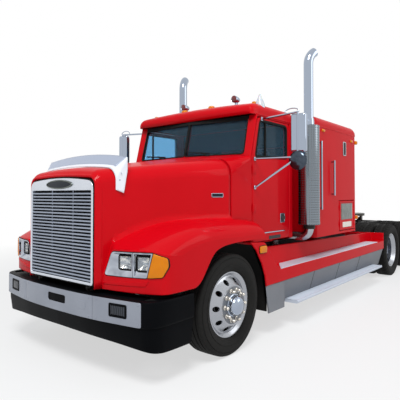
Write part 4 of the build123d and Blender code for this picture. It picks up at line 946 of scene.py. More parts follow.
def punched_guard(tree, place):
    """Punched stainless guard: mirror bright with rows of dark round holes at a 32 mm pitch. The real pitch is
    nearer 15 mm; it is drawn coarser to show."""
    flat = add(tree, "ShaderNodeUVMap", uv_map="wrap").outputs["UV"]
    spots = add(tree, "ShaderNodeTexVoronoi", {"Vector": flat, "Scale": 1 / 0.032, "Randomness": 0.0},
                voronoi_dimensions="2D")
    hole = add(tree, "ShaderNodeMapRange", {"Value": spots.outputs["Distance"], "From Min": 0.17, "From Max": 0.25})
    colour = add(tree, "ShaderNodeMixRGB", {"Fac": hole.outputs["Result"], "Color1": linear("#101112"),
                                            "Color2": linear("#828A91")})
    shine = add(tree, "ShaderNodeMapRange", {"Value": hole.outputs["Result"], "To Min": 0.8, "To Max": 0.16})
    return {"Base Color": colour.outputs["Color"], "Metallic": hole.outputs["Result"],
            "Roughness": shine.outputs["Result"]}


guard_steel = finish_of("guard_punched_stainless", punched_guard)
guard = [turned(((GUARD_LOW, 0.0), (GUARD_LOW, 0.139), (GUARD_LOW + 0.004, GUARD_RADIUS), (1.26, GUARD_RADIUS),
                 (1.262, 0.1425), (2.505, 0.1425), (2.507, GUARD_RADIUS), (GUARD_TOP - 0.004, GUARD_RADIUS),
                 (GUARD_TOP, 0.139), (GUARD_TOP, 0.0)), (STACK_X, STACK_Y, 0), 64, 2)]
guards = piece("muffler_guards", both(guard), guard_steel, "chassis")
wrap = guards.data.uv_layers.new(name="wrap")
corner = np.empty(len(guards.data.loops), int)
guards.data.loops.foreach_get("vertex_index", corner)
spots = np.empty(len(guards.data.vertices) * 3)
guards.data.vertices.foreach_get("co", spots)
spots = spots.reshape(-1, 3)[corner]
turn = np.arctan2(spots[:, 1] - STACK_Y, np.abs(spots[:, 0]) - STACK_X)
wrap.data.foreach_set("uv", np.stack([turn * GUARD_RADIUS, spots[:, 2]], -1).ravel())

# Hood: one moulding with both fenders, hinged at the nose. Its skin is sections across the truck: crown, shoulder,
# side, a hollow fillet, the fender's crown and shoulder, and the outer wall down to the wheel arch.
HOOD = (
    # aft, half width, top, corner, crown
    (-1.175, 0.548, 1.800, 0.090, 0.014),
    (-1.150, 0.562, 1.831, 0.108, 0.017),
    (-1.100, 0.580, 1.856, 0.125, 0.021),
    (-0.900, 0.630, 1.885, 0.140, 0.024),
    (0.260, 0.965, 2.035, 0.190, 0.030),
)
FENDER = (
    # x, front, height against the crest
    (0.570, -1.128, 0.036),
    (0.700, -1.116, 0.038),
    (0.800, -1.100, 0.040),
    (0.950, -1.066, 0.036),
    (1.060, -1.030, 0.020),
    (1.120, -1.002, 0.000),
    (1.175, -0.960, -0.050),
    (1.198, -0.900, -0.095),
    (1.205, -0.780, -0.130),
)
ARCH = ((-0.600, 0.775), (-0.560, 0.790), (-0.510, 0.823), (-0.430, 0.922), (-0.352, 1.020), (-0.275, 1.078),
        (-0.120, 1.113), (0.120, 1.125), (0.700, 1.125))
HOOD_LOW = 0.775
HOOD_REAR = 0.26
COWL_SIDE = 0.998
HOOD_MOULDING = 0.008
FENDER_TAIL = 0.62
CREST = 1.308
FENDER_FOOT = 1.124
CREST_AFT = -0.312
FALL_AFT = 0.2
TAIL_TOP = 1.14


def fender_edge(y):
    """How far out the fender reaches at a station."""
    return through(y, [row[1] for row in FENDER], [row[0] for row in FENDER])


def fender_front(x):
    """Where the fender's front face stands at a distance x from the middle: its reach read the other way round."""
    stations = np.linspace(FENDER[0][1], FENDER[-1][1], 600)
    return np.interp(x, fender_edge(stations), stations)


def fender_height(x, y):
    """Height of the fender's top: from its front edge it climbs as 1 - (1 - t) to the power 2.1 to the crest, runs
    level, sinks as t squared and drops at the tail as t to the power 20; all of it lowered towards the outside.
    Beside the hood a steep flank, rising 3 to 1 from a slanted line, takes its place where it is lower, through a
    soft minimum."""
    rise = through(x, [row[0] for row in FENDER], [row[2] for row in FENDER])
    front = fender_front(x)
    edge = FENDER_FOOT + 0.3 * rise
    t = np.clip((y - front - 0.012) / (CREST_AFT - front), 0, 1)
    climb = 1 - (1 - t) ** 2.1
    part = np.clip((y - FALL_AFT) / (FENDER_TAIL - FALL_AFT), 0, 1)
    fall = 0.16 * part ** 2 + 0.84 * part ** 20
    tail = TAIL_TOP + np.minimum(rise, 0) * 0.1
    crest = CREST + rise
    top = edge + (crest - edge) * climb + (tail - crest) * fall
    flank = 0.86 + 2.3 * (x - 0.585) + 3.0 * (y - front)
    return 0.5 * (top + flank - np.sqrt((top - flank) ** 2 + 0.02 ** 2)) + 0.0001


def fender_sections(y, start, fillet):
    """Rows from the fillet at the start line over the fender's top to its edge, then down the outer wall."""
    edge = fender_edge(y)[:, None]
    y = y[:, None]
    s = np.linspace(0, 1, 44)[None, :]
    x = start + (edge - start) * (1 - (1 - s) ** 1.8)
    z = fender_height(x, y)
    hollow = np.clip(1 - (x - start) / np.maximum(fillet, 1e-6), 0, 1)
    z = z + fillet * (1 - np.sqrt(np.clip(1 - hollow ** 2, 0, 1)))
    low = np.where(y < ARCH[0][0], HOOD_LOW, through(y, [row[0] for row in ARCH], [row[1] for row in ARCH]))
    d = np.linspace(0, 1, 49)[None, 1:]
    wall_x = edge + 0 * d
    wall_z = z[:, -1:] + (low - z[:, -1:]) * d
    return np.concatenate([x, wall_x], 1), np.concatenate([z, wall_z], 1)


hood_y = np.concatenate([fender_front(np.linspace(0.57, 1.195, 80)), np.linspace(-0.90, -0.55, 24),
                         np.linspace(-0.53, 0.26, 28)])
hood_sizes = np.array(HOOD)
nose_y = np.linspace(-1.175, -1.128, 11)


def hood_section(y, low):
    """The hood's crown, shoulder and side at these stations, down to the low edge."""
    return crowned(*[through(y, hood_sizes[:, 0], hood_sizes[:, k]) for k in (1, 2, 3, 4)], low)


half_x = through(hood_y, hood_sizes[:, 0], hood_sizes[:, 1])[:, None]
reach = fender_edge(hood_y)[:, None] - half_x
fillet = np.clip(0.45 * reach, 0.0, 0.045)
fender_x, fender_z = fender_sections(hood_y, half_x, fillet)
top_x, top_z = hood_section(hood_y, fender_z[:, :1])
x = np.concatenate([top_x, fender_x[:, 1:]], 1)
z = np.concatenate([top_z, fender_z[:, 1:]], 1)
hood_half = np.stack([x, np.broadcast_to(aft(hood_y)[:, None], x.shape), z], -1)
nose_x, nose_z = hood_section(nose_y, HOOD_LOW)
nose_half = np.stack([nose_x, np.broadcast_to(aft(nose_y)[:, None], nose_x.shape), nose_z], -1)
tail_y = HOOD_REAR + 0.006 + (FENDER_TAIL - HOOD_REAR - 0.006) * (1 - np.linspace(1, 0, 28) ** 2.2)
tail_y = np.append(HOOD_REAR, tail_y)
beside = (tail_y > HOOD_REAR)[:, None]
tail_x, tail_z = fender_sections(tail_y, np.where(beside, COWL_SIDE, half_x[-1]),
                                 np.where(beside, 0.001, fillet[-1]))
tail_half = np.stack([tail_x, np.broadcast_to(aft(tail_y)[:, None], tail_x.shape), tail_z], -1)
nose_half_width, nose_top, nose_corner, nose_crown = HOOD[0][1:]
lip = []
for drawn, y in ((0.0, -1.175), (0.003, -1.181), (0.010, -1.185), (0.018, -1.183), (0.023, -1.176), (0.025, -1.165),
                 (0.025, -1.130)):
    lip_x, lip_z = crowned(nose_half_width - drawn, nose_top - drawn * 1.2, nose_corner - drawn * 0.6,
                           nose_crown, HOOD_LOW)
    lip.append(np.stack([lip_x[0], np.full(lip_x.shape[1], aft(y)), lip_z[0]], -1))
hood_parts = [hood_half, nose_half, tail_half, np.array(lip[::-1])]
HEADLAMP = ((0.608, 0.905), (0.698, 1.114), (1.098, 1.118), (1.049, 0.909))
LAMP_FOOT = 0.905
LAMP_RISE = 0.211


def in_lamp_opening(points):
    """True for places on the fenders' front faces inside the headlamp's outline, drawn in by 8 to 12 mm: right
    of its left edge, left of its right edge, and between its low and top edges."""
    x = np.abs(points[:, 0])
    z = points[:, 2]
    part = (z - LAMP_FOOT) / LAMP_RISE
    left = HEADLAMP[0][0] + (HEADLAMP[1][0] - HEADLAMP[0][0]) * part + 0.010
    right = HEADLAMP[3][0] + (HEADLAMP[2][0] - HEADLAMP[3][0]) * part - 0.008
    return (points[:, 1] < aft(-0.85)) & (x > left) & (x < right) & (z > 0.915) & (z < 1.106)


hood_skin = piece("hood_skin", both(hood_parts), red_paint, "hood", closed=False,
                  sharp=30, opening=in_lamp_opening)
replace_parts(hood_skin, "hood")
thickened(hood_skin, "moulding_thickness", HOOD_MOULDING)

# Headlamps: a bright bezel let into each fender's face round two rectangular lamps, each a reflector bowl behind a
# fluted glass, with an amber turn lamp round the corner.


def on_face(outline, out):
    """Front points (x, z) put this far outside the fender's face, along the normal of its plan."""
    x, z = outline.T
    y = fender_front(x)
    slope = (fender_front(x + 0.001) - fender_front(x - 0.001)) / 0.002
    size = np.sqrt(1 + slope ** 2)
    return np.stack([x + out * slope / size, aft(y - out / size), z], -1)


TURN_LAMP = ((1.053, 0.909), (1.102, 1.117), (1.189, 1.080), (1.192, 1.000), (1.168, 0.918))
LAMP_ONE = ((0.763, 0.968), (0.763, 1.080), (0.891, 1.080), (0.891, 0.968))
LAMP_TWO = ((0.949, 0.964), (0.949, 1.082), (1.066, 1.082), (1.056, 0.964))
BEZEL_ONE = ((0.608, 0.905), (0.698, 1.114), (0.919, 1.116), (0.919, 0.907))
BEZEL_TWO = ((0.921, 0.907), (0.921, 1.116), (1.098, 1.118), (1.049, 0.909))
bezels = []
rings = []
bowls = []
glasses = []
for bezel, lamp, corner in ((BEZEL_ONE, LAMP_ONE, (0.03, 0.03, 0.002, 0.002)),
                            (BEZEL_TWO, LAMP_TWO, (0.002, 0.002, 0.012, 0.012))):
    outer = rounded_outline(bezel, corner, 5, 6)
    inner = rounded_outline(lamp, 0.012, 5, 6)
    shore = inset(outer, 0.012)
    foot = inset(inner, -0.008)
    slope = [(shore * (1 - k) + foot * k, 0.004 - 0.026 * k) for k in np.linspace(0, 1, 8)]
    rim = [(outer, -0.030), (outer, 0.003), (inset(outer, 0.001), 0.006), (inset(outer, 0.009), 0.006)]
    bezels.append(ringed(rim + slope + [(foot, -0.030)], on_face))
    rings.append(frame_of(inset(inner, -0.009), inset(inner, 0.003), on_face, -0.030, -0.014, 0.003))
    middle = inner.mean(0)
    reach = np.linspace(0.0, 1.05, 12)
    bowls.append(ringed([(middle + (inner - middle) * r, -0.028 - 0.050 * (1 - r * r)) for r in reach], on_face))
    glasses.append(plate(inset(inner, -0.002), on_face, -0.026, -0.018, 0.003, 0.006))
around = rounded_outline(HEADLAMP, (0.03, 0.03, 0.012, 0.012), 5, 10)
rings.append(frame_of(inset(around, -0.006), inset(around, 0.003), on_face, -0.012, 0.004, 0.002))
turn_edge = rounded_outline(TURN_LAMP, (0.012, 0.012, 0.020, 0.020, 0.015), 5, 4)
rings.append(frame_of(inset(turn_edge, -0.005), inset(turn_edge, 0.003), on_face, -0.012, 0.004, 0.002))

# Chromed plastic bezel: bright, with painted reflections as darker shapes about 0.1 m across, standing for its
# hollows mirroring one another.
bezel_chrome_painted_reflections = varied("bezel_chromed_plastic", (NOISE, 0.12, {"Detail": 1.0, "Distortion": 1.2}),
                      ("#6E7480", "#D2D8E2"), (0.1,), {"Metallic": 1.0})
bezel_item = piece("headlamp_bezels", both(bezels), bezel_chrome_painted_reflections, "hood", closed=False)
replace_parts(bezel_item, "headlamps")
piece("headlamp_rings", both(rings), black_rubber, "hood")


def bowl_painted_reflections(tree, place):
    """Silvered reflector: bright, with painted reflections in level streaks about 15 mm high, from blue-grey to warm
    white, standing for what its curve spreads out and mirrors."""
    drawn = add(tree, "ShaderNodeMapping", {"Vector": place.outputs["Object"], "Scale": (9.0, 9.0, 60.0)})
    streaks = add(tree, "ShaderNodeTexNoise", {"Vector": drawn.outputs["Vector"], "Scale": 1.0})
    share = add(tree, "ShaderNodeMapRange", {"Value": streaks.outputs["Fac"], "From Min": 0.36, "From Max": 0.62})
    colour = add(tree, "ShaderNodeMixRGB", {"Fac": share.outputs["Result"], "Color1": linear("#6A7684"),
                                            "Color2": linear("#FAF4E6")})
    return {"Base Color": colour.outputs["Color"], "Metallic": 1.0, "Roughness": 0.12}


bowl_silver_painted_reflections = finish_of("reflector_silvered_steel", bowl_painted_reflections)
piece("headlamp_bowls", both(bowls), bowl_silver_painted_reflections, "hood", closed=False)

# Pressed headlamp glass: clear, faintly blue, with upright flutes at a 12 mm pitch that break up the bowl.
lamp_glass = varied("headlamp_pressed_glass", (BANDS, 0.012, {}, {"bands_direction": "X"}), ("#E2EAF2",),
                    (0.06,), {"Alpha": 0.22}, bump=(0.4, 0.003))
piece("headlamp_glasses", both(glasses), lamp_glass, "hood")
turn_lamp = [plate(turn_edge, on_face, -0.010, 0.012, 0.007, 0.004)]
turn_item = piece("turn_lamp_lenses", both(turn_lamp), amber, "hood")
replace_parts(turn_item, "turn_lamps")
sill_edge = rounded_outline(((0.590, 0.822), (0.590, 0.842), (1.072, 0.886), (1.036, 0.836)),
                            (0.006, 0.006, 0.01, 0.01), 5, 8)
sill = [plate(sill_edge, on_face, -0.002, 0.005, 0.004)]
piece("headlamp_sills", both(sill), red_paint, "hood")

# Grille: a bright frame with a plain top panel and a blank oval badge, level slats, two upright ribs behind them
# and a black insect screen at the back.
GRILLE_HALF = 0.521
GRILLE_FRONT = -1.195
SLATS = 26
SLAT_PITCH = 0.031
on_grille = face_at(1, aft(GRILLE_FRONT), -1)
grille_edge = rounded_outline(((-GRILLE_HALF, 0.800), (-GRILLE_HALF, 1.730), (0.0, 1.783), (GRILLE_HALF, 1.730),
                               (GRILLE_HALF, 0.800)), (0.030, 0.080, 0.400, 0.080, 0.030), 8, 2)
grille_hole = rounded_outline(((-0.494, 0.826), (-0.494, 1.645), (0.0, 1.6455), (0.494, 1.645), (0.494, 0.826)),
                              (0.012, 0.012, 0.400, 0.012, 0.012), 8, 2)

# Bright anodised aluminium: pale blue-grey, satin, a little dusty in 0.2 m patches.
grille_aluminium = varied("grille_anodised_aluminium", (NOISE, 0.2, {"Detail": 4.0}), ("#8C95A5", "#A4ACBA"),
                          (0.3,), {"Metallic": 0.8})

# Polished grille frame: nearly white aluminium, softly blurred, wiped in 0.15 m patches.
frame_aluminium = varied("grille_polished_frame", (NOISE, 0.15, {"Detail": 4.0}), ("#CBD1DA", "#DCE0E7"),
                         (0.25,), {"Metallic": 0.7})
grille_seal = frame_of(inset(grille_edge, -0.009), inset(grille_edge, 0.004), on_grille, -0.045, -0.006, 0.003)
piece("grille_seal", [grille_seal], black_rubber, "hood")
frame_item = piece("grille_frame", [frame_of(grille_edge, grille_hole, on_grille, -0.040, 0.0, 0.006)],
                   frame_aluminium, "hood")
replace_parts(frame_item, "grille")
slat = np.array(((-1.190, 0.000), (-1.191, 0.006), (-1.186, 0.013), (-1.164, 0.018), (-1.162, 0.014),
                 (-1.182, 0.004)))
slats = [carried(np.stack([aft(slat[:, 0]), 0.834 + k * SLAT_PITCH + slat[:, 1]], -1), -0.498, 0.498, 0)
         for k in range(SLATS)]
for x in (-0.175, 0.175):
    slats.append(rounded_block((x - 0.006, aft(-1.162), 0.822), (x + 0.006, aft(-1.156), 1.650), 0.003))
piece("grille_slats", slats, grille_aluminium, "hood")

# Insect screen: black painted wire cloth, nearly black, woven at a 10 mm pitch, coarser than the real 2 mm.
screen_cloth = varied("insect_screen_black_wire", (CELLS, 0.010, {"Randomness": 0.0}), ("#050506", "#16171A"),
                      (0.8,), {"Specular IOR Level": 0.2})
piece("insect_screen", [plate(inset(grille_hole, -0.012), on_grille, -0.047, -0.042, 0.002)], screen_cloth, "hood")
turn = np.linspace(0, 2 * np.pi, 49)[:-1]
oval = np.stack([0.215 * np.cos(turn), 1.703 + 0.045 * np.sin(turn)], -1)
# The badge rim shares the stainless plate's painted green reflection of the ground.
piece("grille_badge_rim", [frame_of(oval, inset(oval, 0.013), on_grille, -0.002, 0.012, 0.005)], hatch_steel_painted_reflection,
      "hood")

# Vitreous enamel: dark slate blue, glossy, faintly uneven in 20 mm patches.
badge_enamel = varied("badge_slate_enamel", (NOISE, 0.02), ("#0E141C", "#1A2430"), (0.15,),
                      {"Specular IOR Level": 0.2})
piece("grille_badge_field", [plate(inset(oval, 0.011), on_grille, -0.002, 0.006, 0.002, 0.004)], badge_enamel,
      "hood")

# Hood side plates: a blank plate of dark enamel in a bright pressed rim, riveted to each side of the hood near
# its rear edge.
plate_line = np.array(oblong(0.020, 1.578, 0.168, 1.622))


def on_hood_side(outline, out):
    """Side points (aft, z) put this far outside the hood's side."""
    y, z = outline.T
    return np.stack([through(y, hood_sizes[:, 0], hood_sizes[:, 1]) + out, aft(y), z], -1)


side_edge = rounded_outline(plate_line, 0.012)
side_plate = [plate(side_edge, on_hood_side, -0.002, 0.004, 0.002)]
piece("hood_side_plates", both(side_plate), badge_enamel, "hood")
side_rim = [frame_of(side_edge, inset(side_edge, 0.006), on_hood_side, -0.002, 0.006, 0.002)]
piece("hood_side_plate_rims", both(side_rim), chrome, "hood")

# Hood shield: a bent sheet of polished aluminium that rises off the hood's front edge and runs down its sides as
# two legs, screwed on.
SHIELD_SHEET = 0.004
SHIELD_FRONT = (-1.010, 0.610, 1.880, 0.136, 0.022)
SHIELD_REAR = (-0.900, 0.642, 2.005, 0.024, 0.045)
t = np.linspace(0, 1, 14)[:, None]
bow = np.array(SHIELD_FRONT) + (np.array(SHIELD_REAR) - np.array(SHIELD_FRONT)) * t
shield_x, shield_z = whole_section(*crowned(bow[:, 1], bow[:, 2], bow[:, 3], bow[:, 4], 1.650 - 0.030 * t[:, 0]))
shield_y = aft(bow[:, :1]) - 0.042 * t * np.clip((1.83 - shield_z) / 0.21, 0, 1)

# Polished sheet aluminium: pale, with a painted blue reflection of the sky, softly blurred, with rolling marks about
# 0.1 m apart.
shield_sheet_painted_sky = varied("shield_polished_sheet", (NOISE, 0.1, {"Detail": 3.0}), ("#AEB8CC",), (0.24, 0.36),
                      {"Metallic": 0.8})

# Stove enamel on the shield's flange and legs: clean cool white, glossy, dusty in 0.2 m patches.
shield_enamel = varied("shield_white_enamel", (NOISE, 0.2, {"Detail": 4.0}), ("#E3E8F0", "#EEF1F6"), (0.2,))
sheet = np.stack([shield_x, shield_y, shield_z], -1)
legs = int(np.argmax(shield_x[0] > -0.56))
flange = [sheet[:4], sheet[3:, :legs + 1], sheet[3:, -legs - 1:]]
for label, parts, finish in (("deflector", [sheet[3:, legs:sheet.shape[1] - legs]], shield_sheet_painted_sky),
                             ("flange_and_legs", flange, shield_enamel)):
    item = piece("hood_shield_" + label, parts, finish, "hood", closed=False)
    thickened(item, "sheet_thickness", SHIELD_SHEET)
    if label == "deflector":
        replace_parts(item, "hood_shield")
SCREW_HEAD = ((0.0, 0.0), (0.0, 0.007), (0.003, 0.006), (0.004, 0.0))
screws = [turned(SCREW_HEAD, (0.614 + 0.030 * k, aft(-0.985 + 0.035 * k), z), 10)
          for k, z in ((0.0, 1.68), (0.3, 1.74), (0.6, 1.80))]
piece("hood_shield_screws", both(screws), chrome, "hood")

# Bumper: a black moulded body that wraps round the corners and tapers to a low dam, with bright face panels pressed
# from aluminium, a slot near the middle and a fog lamp in each end.
BUMPER_PLAN = ((0.000, -1.235), (0.300, -1.229), (0.560, -1.212), (0.850, -1.172), (1.020, -1.144), (1.085, -1.130),
               (1.140, -1.100), (1.178, -1.040), (1.195, -0.950), (1.200, -0.820), (1.200, -0.610))
BUMPER_ROWS = (
    # drawn in, height, share of the dam's drop
    (0.060, 0.735, 0), (0.014, 0.735, 0), (0.005, 0.732, 0), (0.001, 0.725, 0), (0.000, 0.715, 0),
    (0.000, 0.540, 0), (0.002, 0.526, 0), (0.008, 0.519, 0), (0.016, 0.517, 0), (0.030, 0.517, 0.30),
    (0.045, 0.517, 0.65), (0.056, 0.517, 0.92), (0.060, 0.517, 0.98), (0.068, 0.517, 1.0), (0.078, 0.517, 0.98),
    (0.080, 0.517, 0.80), (0.060, 0.517, 0.0), (0.060, 0.720, 0), (0.060, 0.735, 0),
)
DAM_LOW = ((0.0, 0.362), (0.6, 0.352), (1.10, 0.322), (1.35, 0.292), (1.83, 0.285))
plan = np.array(BUMPER_PLAN)
length = np.concatenate([[0], np.cumsum(np.hypot(*np.diff(plan, axis=0).T))])
at = np.linspace(0, length[-1], 90)
line = np.stack([through(at, length, plan[:, 0]), through(at, length, plan[:, 1])], -1)
along = np.gradient(line, axis=0)
along[0] = (1, 0)
inward = np.stack([-along[:, 1], along[:, 0]], -1) / np.linalg.norm(along, axis=1, keepdims=True)
rows = np.array(BUMPER_ROWS)
dam = through(at, [p[0] for p in DAM_LOW], [p[1] for p in DAM_LOW])
draw = 1 - 0.45 * np.clip((at[:, None] - 0.3) / 1.0, 0, 1) * (rows[None, :, 2] > 0)
ground = line[:, None] + inward[:, None] * (rows[None, :, 0] * draw)[..., None]
level = rows[None, :, 1] - rows[None, :, 2] * (rows[None, :, 1] - dam[:, None])
bumper_half = np.stack([ground[..., 0], aft(ground[..., 1]), level], -1)
bumper_half[0, :, 0] = 0
tail = np.broadcast_to(bumper_half[-1].mean(0), bumper_half[-1].shape)
bumper_half = [np.concatenate([bumper_half, tail[None]])]

# Moulded bumper plastic: near black, satin, with a fine spark-eroded grain about 3 mm across.
bumper_plastic = varied("bumper_grained_black_plastic", (NOISE, 0.4, {"Detail": 5.0}), ("#060709", "#0D0E11"),
                        (0.42,), {"Specular IOR Level": 0.03}, bump=(0.15, 0.001), grain=(NOISE, 0.003))
SHELF = ((-1.02, -1.115), (-0.56, -1.195), (0.0, -1.220), (0.56, -1.195), (1.02, -1.115), (1.02, -0.960),
         (-1.02, -0.960))
SHELF_Z = 0.722
on_shelf = face_at(2, SHELF_Z)
shelf = [plate(rounded_outline(SHELF, 0.01), on_shelf, 0.0, 0.012, 0.003)]
bumper = piece("bumper_body", both(bumper_half) + shelf, bumper_plastic, "chassis")
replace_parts(bumper, "bumper")


def on_bumper(outline, out):
    """Front points (x, z) put this far ahead of the bumper's face."""
    x, z = outline.T
    return np.stack([x, aft(through(np.abs(x), plan[:6, 0], plan[:6, 1]) - out), z], -1)


FACE_LOW = 0.524
FACE_TOP = 0.727
FACE_SEAM = 0.556
end_edge = rounded_outline(((FACE_SEAM, FACE_LOW), (FACE_SEAM, FACE_TOP), (1.082, FACE_TOP), (1.082, FACE_LOW)),
                           (0.006, 0.006, 0.018, 0.018), 5, 8)
fog_hole = rounded_outline(((0.752, 0.584), (0.752, 0.692), (0.939, 0.692), (0.939, 0.584)), 0.012, 5, 8)
middle_edge = rounded_outline(((-FACE_SEAM + 0.003, FACE_LOW), (-FACE_SEAM + 0.003, FACE_TOP),
                               (FACE_SEAM - 0.003, FACE_TOP), (FACE_SEAM - 0.003, FACE_LOW)), 0.006, 5, 16)
slot_hole = rounded_outline(((-0.112, 0.602), (-0.112, 0.677), (0.172, 0.677), (0.172, 0.602)), 0.020, 5, 16)
end_panel = [frame_of(end_edge, fog_hole, on_bumper, -0.002, 0.005, 0.003, 4)]
middle_panel = [frame_of(middle_edge, slot_hole, on_bumper, -0.002, 0.005, 0.003, 5),
                plate(rounded_outline(oblong(0.366, 0.594, 0.464, 0.669), 0.006), on_bumper,
                      0.002, 0.008, 0.003)]

# Brushed and anodised aluminium: grey, satin, with dust in soft patches about 0.3 m across.
face_aluminium = varied("bumper_satin_aluminium", (NOISE, 0.3, {"Detail": 5.0}), ("#858A95", "#A0A5B0"),
                        (0.38,), {"Metallic": 0.6})
face_item = piece("bumper_face_panels", both(end_panel) + middle_panel, face_aluminium, "chassis")
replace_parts(face_item, "bumper_face")
fog_frame = [frame_of(inset(fog_hole, -0.004), inset(fog_hole, 0.014), on_bumper, -0.002, 0.009, 0.004)]
fog_frame.append(plate(inset(fog_hole, 0.013), on_bumper, -0.002, 0.001, 0.001))
piece("fog_lamp_frames", both(fog_frame), bumper_plastic, "chassis")
fog_lens = [plate(inset(fog_hole, 0.016), on_bumper, -0.001, 0.005, 0.002, 0.003)]

# Pressed fog lamp glass over a dark bowl: smoky grey, glossy, with flutes at a 20 mm pitch.
fog_lamp_glass = varied("fog_lamp_smoky_glass", (BANDS, 0.020, {"Distortion": 2.0}, {"bands_direction": "X"}),
                        ("#17191C", "#40444C"), (0.1,), {"Specular IOR Level": 0.2})
piece("fog_lamp_lenses", both(fog_lens), fog_lamp_glass, "chassis")

bolts = [turned(((0.003, 0.0), (0.003, 0.008), (-0.003, 0.007), (-0.005, 0.004), (-0.006, 0.0)),
                on_bumper(np.array((spot,)), 0.004)[0], 16, 1)
         for spot in [(x, z) for x in (0.508, 0.600, 1.055) for z in (0.705, 0.545)]]
piece("bumper_face_bolts", both(bolts), face_aluminium, "chassis")

# Tail lamps: a pressed steel bar in black enamel, bolted across the frame's rear end, carries round red lamps
# and a blank plate of bright aluminium.
bar = [rounded_block((-0.425, 4.228, 0.800), (0.425, 4.252, 0.915), 0.006)]
piece("tail_lamp_bar", bar, chassis_enamel, "chassis")
LAMP_LENS = ((0.0, 0.0), (0.0, 0.048), (0.016, 0.047), (0.026, 0.036), (0.030, 0.018), (0.031, 0.0))
tail_lenses = [turned(LAMP_LENS, (x, 4.250, 0.858), 32, 1) for x in (0.230, 0.355)]
piece("tail_lamp_lenses", both(tail_lenses), red_acrylic, "chassis")
BAR_REAR = 4.252
on_bar = face_at(1, BAR_REAR)
blank = rounded_outline(((-0.152, 0.790), (-0.152, 0.925), (0.152, 0.925), (0.152, 0.790)), 0.012)
piece("blank_rear_plate", [plate(blank, on_bar, -0.002, 0.004, 0.002)], wheel_aluminium, "chassis")

# Mirrors: chromed pressed heads and round convex mirrors with silvered glass at the rear, clamped on bright tube
# arms whose feet are bolted to the doors.
MIRROR_X = 1.490
MIRROR_AFT = 0.820
HEAD_DEPTH = 0.066
MIRROR_TUBE = 0.0115
ROUND_MIRROR_Z = 1.990
DOOR_FEET = ((0.715, 2.025, 2.025), (0.715, 1.690, 2.025), (0.870, 2.512, 2.530))
on_mirror = face_at(1, aft(MIRROR_AFT + HEAD_DEPTH))
arms = [tube(((MIRROR_X, aft(MIRROR_AFT), 2.0), (MIRROR_X, aft(MIRROR_AFT), 2.540)), MIRROR_TUBE, 16)]
for place_aft, z, end_z in DOOR_FEET:
    arms.append(tube(((0.993, aft(place_aft), z), (MIRROR_X, aft(MIRROR_AFT), end_z)), MIRROR_TUBE, 16))
    arms.append(rounded_block((0.984, aft(place_aft) - 0.020, z - 0.022),
                              (1.000, aft(place_aft) + 0.020, z + 0.022), 0.005))
hoop = np.linspace(0, np.pi, 15)
arms.append(tube(np.stack([MIRROR_X - 0.07 + 0.09 * np.cos(hoop), np.full(15, aft(MIRROR_AFT)),
                           2.535 + 0.045 * np.sin(hoop)], -1), 0.006, 10))
heads = [rounded_block((MIRROR_X - 0.092, aft(MIRROR_AFT - 0.005), 2.082),
                       (MIRROR_X + 0.092, aft(MIRROR_AFT + 0.068), 2.518), 0.026, 7)]
shells = [turned(((-0.035, 0.0), (-0.034, 0.034), (-0.026, 0.080), (-0.010, 0.105), (0.000, 0.110), (0.004, 0.108),
                  (0.005, 0.0)), (MIRROR_X, aft(MIRROR_AFT), ROUND_MIRROR_Z), 36, 1)]

# Backs of the round mirrors: chrome painted dark blue-grey as a reflection of the dark ground, bright but smoky,
# mottled in 40 mm patches.
mirror_back_painted_dark_reflection = varied("mirror_blued_steel", (NOISE, 0.04, {"Detail": 4.0}), ("#232C36", "#56606C"), (0.18,),
                      {"Metallic": 0.9})

# Silvered glass: a clean mirror, faintly green, with wiping haze in 60 mm patches.
mirror_silver = varied("mirror_silvered_glass", (NOISE, 0.06), ("#C9D2D0",), (0.0, 0.04), {"Metallic": 1.0})
glass_edge = rounded_outline(oblong(MIRROR_X - 0.080, 2.105, MIRROR_X + 0.080, 2.485), 0.016)
silver = [plate(glass_edge, on_mirror, -0.002, 0.004, 0.002),
          turned(((0.004, 0.0), (0.004, 0.100), (0.007, 0.097), (0.012, 0.056), (0.014, 0.0)),
                 (MIRROR_X, aft(MIRROR_AFT), ROUND_MIRROR_Z), 36, 1)]
for side, hand in HANDS:
    item = piece("mirror_" + hand + "_arms_and_heads", sided(arms + heads, side), chrome,
                 "door_" + hand)
    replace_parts(item, "mirror_" + hand)
    piece("mirror_" + hand + "_shell", sided(shells, side), mirror_back_painted_dark_reflection, "door_" + hand)
    piece("mirror_" + hand + "_glass", sided(silver, side), mirror_silver, "door_" + hand)

# Studio: a pale floor that fades into a white surround, a large soft key lamp ahead and above, a weaker one at
# the side, and the camera.
FLOOR_HALF = 60


def looked_at(tree):
    """1 for rays that show what they meet: from the camera, through glass, or off a glossy face; else 0."""
    rays = add(tree, "ShaderNodeLightPath").outputs
    seen = add(tree, "ShaderNodeMath", {0: rays["Is Camera Ray"], 1: rays["Is Transmission Ray"]},
               operation="MAXIMUM")
    shown = add(tree, "ShaderNodeMath", {0: seen.outputs["Value"], 1: rays["Is Glossy Ray"]}, operation="MAXIMUM")
    return shown.outputs["Value"]


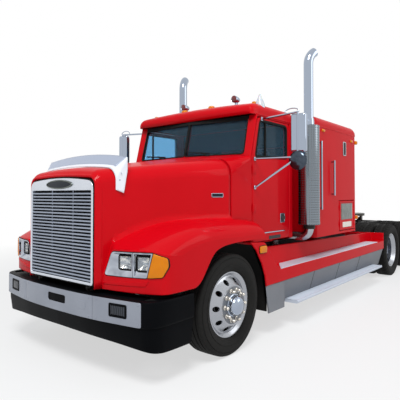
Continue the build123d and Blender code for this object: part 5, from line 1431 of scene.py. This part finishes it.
floor_mesh = bpy.data.meshes.new("floor")
floor_corners = oblong(-FLOOR_HALF, -FLOOR_HALF, FLOOR_HALF, FLOOR_HALF)
floor_mesh.from_pydata([(x, y, 0) for x, y in floor_corners], [], [(0, 1, 2, 3)])
floor = linked("floor", floor_mesh)
floor_paint = bpy.data.materials.new("floor_white_paint")
floor_paint.use_nodes = True
tree = floor_paint.node_tree
tree.nodes.clear()
place = add(tree, "ShaderNodeTexCoord")
away = add(tree, "ShaderNodeVectorMath", {0: place.outputs["Object"]}, operation="LENGTH")
fade = add(tree, "ShaderNodeMapRange", {"Value": away.outputs["Value"], "From Min": 4.0, "From Max": 10.0,
                                        "To Min": 0.62, "To Max": 1.0})
share = add(tree, "ShaderNodeMath", {0: looked_at(tree), 1: fade.outputs["Result"]}, operation="MULTIPLY")
flat = add(tree, "ShaderNodeBsdfDiffuse", {"Color": linear("#E8E8E8")})
glow = add(tree, "ShaderNodeEmission", {"Color": (1, 1, 1, 1), "Strength": 1.0})
mixed = add(tree, "ShaderNodeMixShader", {0: share.outputs["Value"], 1: flat.outputs["BSDF"],
                                          2: glow.outputs["Emission"]})
add(tree, "ShaderNodeOutputMaterial", {"Surface": mixed.outputs["Shader"]})
floor_mesh.materials.append(floor_paint)

world = bpy.data.worlds.new("studio_surround")
bpy.context.scene.world = world
world.use_nodes = True
tree = world.node_tree
tree.nodes.clear()
soft = add(tree, "ShaderNodeBackground", {"Color": linear("#E4ECF5"), "Strength": 0.42})
white = add(tree, "ShaderNodeBackground", {"Color": (1, 1, 1, 1), "Strength": 1.0})
mixed = add(tree, "ShaderNodeMixShader", {0: looked_at(tree), 1: soft.outputs["Background"],
                                          2: white.outputs["Background"]})
add(tree, "ShaderNodeOutputWorld", {"Surface": mixed.outputs["Shader"]})

for name, spot, aim, size, power in (("key", (5.0, -9.4, 12.0), (0, -2.5, 1.2), 4.5, 1420),
                                     ("side_fill", (9.0, 3.0, 6.0), (0, 0, 1.2), 6.0, 200)):
    lamp = bpy.data.lights.new(name, "AREA")
    lamp.size = size
    lamp.energy = power
    holder = linked(name, lamp)
    holder.location = spot
    direction = np.array(aim) - np.array(spot)
    flat_reach = math.hypot(direction[0], direction[1])
    holder.rotation_euler = (math.atan2(flat_reach, -direction[2]), 0, math.atan2(-direction[0], direction[1]))

view = bpy.data.cameras.new("camera")
view.lens = 38.54
view.sensor_width = 36
view.shift_x = -0.0311
view.shift_y = -0.0374
view.clip_end = 200
camera = linked("camera", view)
camera.location = (3.6929, -6.5876, 1.605)
camera.rotation_euler = (math.radians(90 + 1.3024), 0, math.radians(38.2703))
bpy.context.scene.camera = camera
bpy.context.scene.view_settings.view_transform = "Standard"
